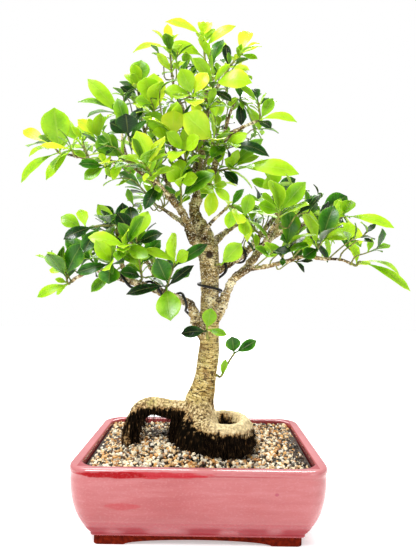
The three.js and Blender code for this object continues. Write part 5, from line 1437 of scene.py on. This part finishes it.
small_groups = {}
for number, (name, limb, place, end, more, light, leaves) in enumerate(shoots):
    if not more:
        continue
    rng = np.random.default_rng(900 + number)
    height_band = "crown" if end[2] > 470 else "low" if end[2] < 330 else "middle"
    group = height_band + ("_left" if end[0] < 0 else "_right")
    spray = small_groups.setdefault(group, Sprays())
    most = 6 if end[0] < 0 or end[2] > 400 else 2
    added = 0
    for attempt in range(60):
        share = rng.uniform(0.03, 0.97)
        turn = rng.uniform(0, 2 * math.pi)
        leaf = young_leaf(twigs[number], share, turn, (-0.1, 1.2), (15, 31), 0.15, rng)
        added += add_if_clear(spray, leaf, number, 0.9, light, (-0.44, 0.34), rng)
        if added == most:
            break
for group, spray in small_groups.items():
    spray.finish("small_leaves_" + group)

# Inner sprigs: thin woody twigs that break out along the limbs, each with a few small leaves.
# They grow out of the limbs they stand on and make the fine net of twigs inside the crown.
sprig_groups = {"left": Sprays(), "right": Sprays()}
sprig_radii = (1.0, 0.65)
rng = np.random.default_rng(77)
owner = len(shoots)
for limb_name, limb in limbs.items():
    if limb_name.startswith("root"):
        continue
    for attempt in range(round(sum(steps_of(limb)) / 8)):
        centre, ahead, radius = on_limb(limb, rng.uniform(0.2, len(limb) - 1.02))
        radial = sideways(start_side, ahead, rng.uniform(0, 2 * math.pi))
        direction = unit(radial + ahead * rng.uniform(0.3, 1.3) + (0, 0, 0.5))
        length = rng.uniform(20, 44)
        low_inside = centre[2] < 375 and abs(centre[0]) < 45
        if centre[2] < 262 or radius > 8 or low_inside or direction[2] < 0.1:
            continue
        start = centre + radial * radius * 0.8
        end = start + direction * length
        twig = [start, start + radial * length * 0.3, start + (end - start) * 0.6 + (0, 0, 1.5), end]
        spots = np.array([on_twig(twig, s) for s in np.linspace(0.3, 1, 8)])
        gaps = np.linalg.norm(spots[:, None] - solids.points[None], axis=2) - solids.girths
        if gaps.min() < 1.2 or not keeps_in_box(end):
            continue
        if any(np.any(leaf.near(spots, 1.2)) for leaf in foliage.leaves):
            continue
        owner += 1
        solids.add(spots, 0.7, owner)
        spray = sprig_groups["left" if end[0] < 0 else "right"]
        spray.add_twig(twig, 8, 5, *sprig_radii)
        # Sprig leaves are darker the lower they stand in the crown: partly painted shade, partly the leaves'
        # own green.
        light = 0.3 + 0.4 * (end[2] - 250) / 350
        turn = rng.uniform(0, 6)
        for i in range(4):
            turn += golden_turn
            leaf = young_leaf(twig, 0.7 + 0.09 * i, turn, (0.3, 1.2), (14, 25), 0.1, rng)
            add_if_clear(spray, leaf, owner, 0.7, light, (-0.4, 0.3), rng)
for group, spray in sprig_groups.items():
    spray.finish("inner_sprigs_" + group)
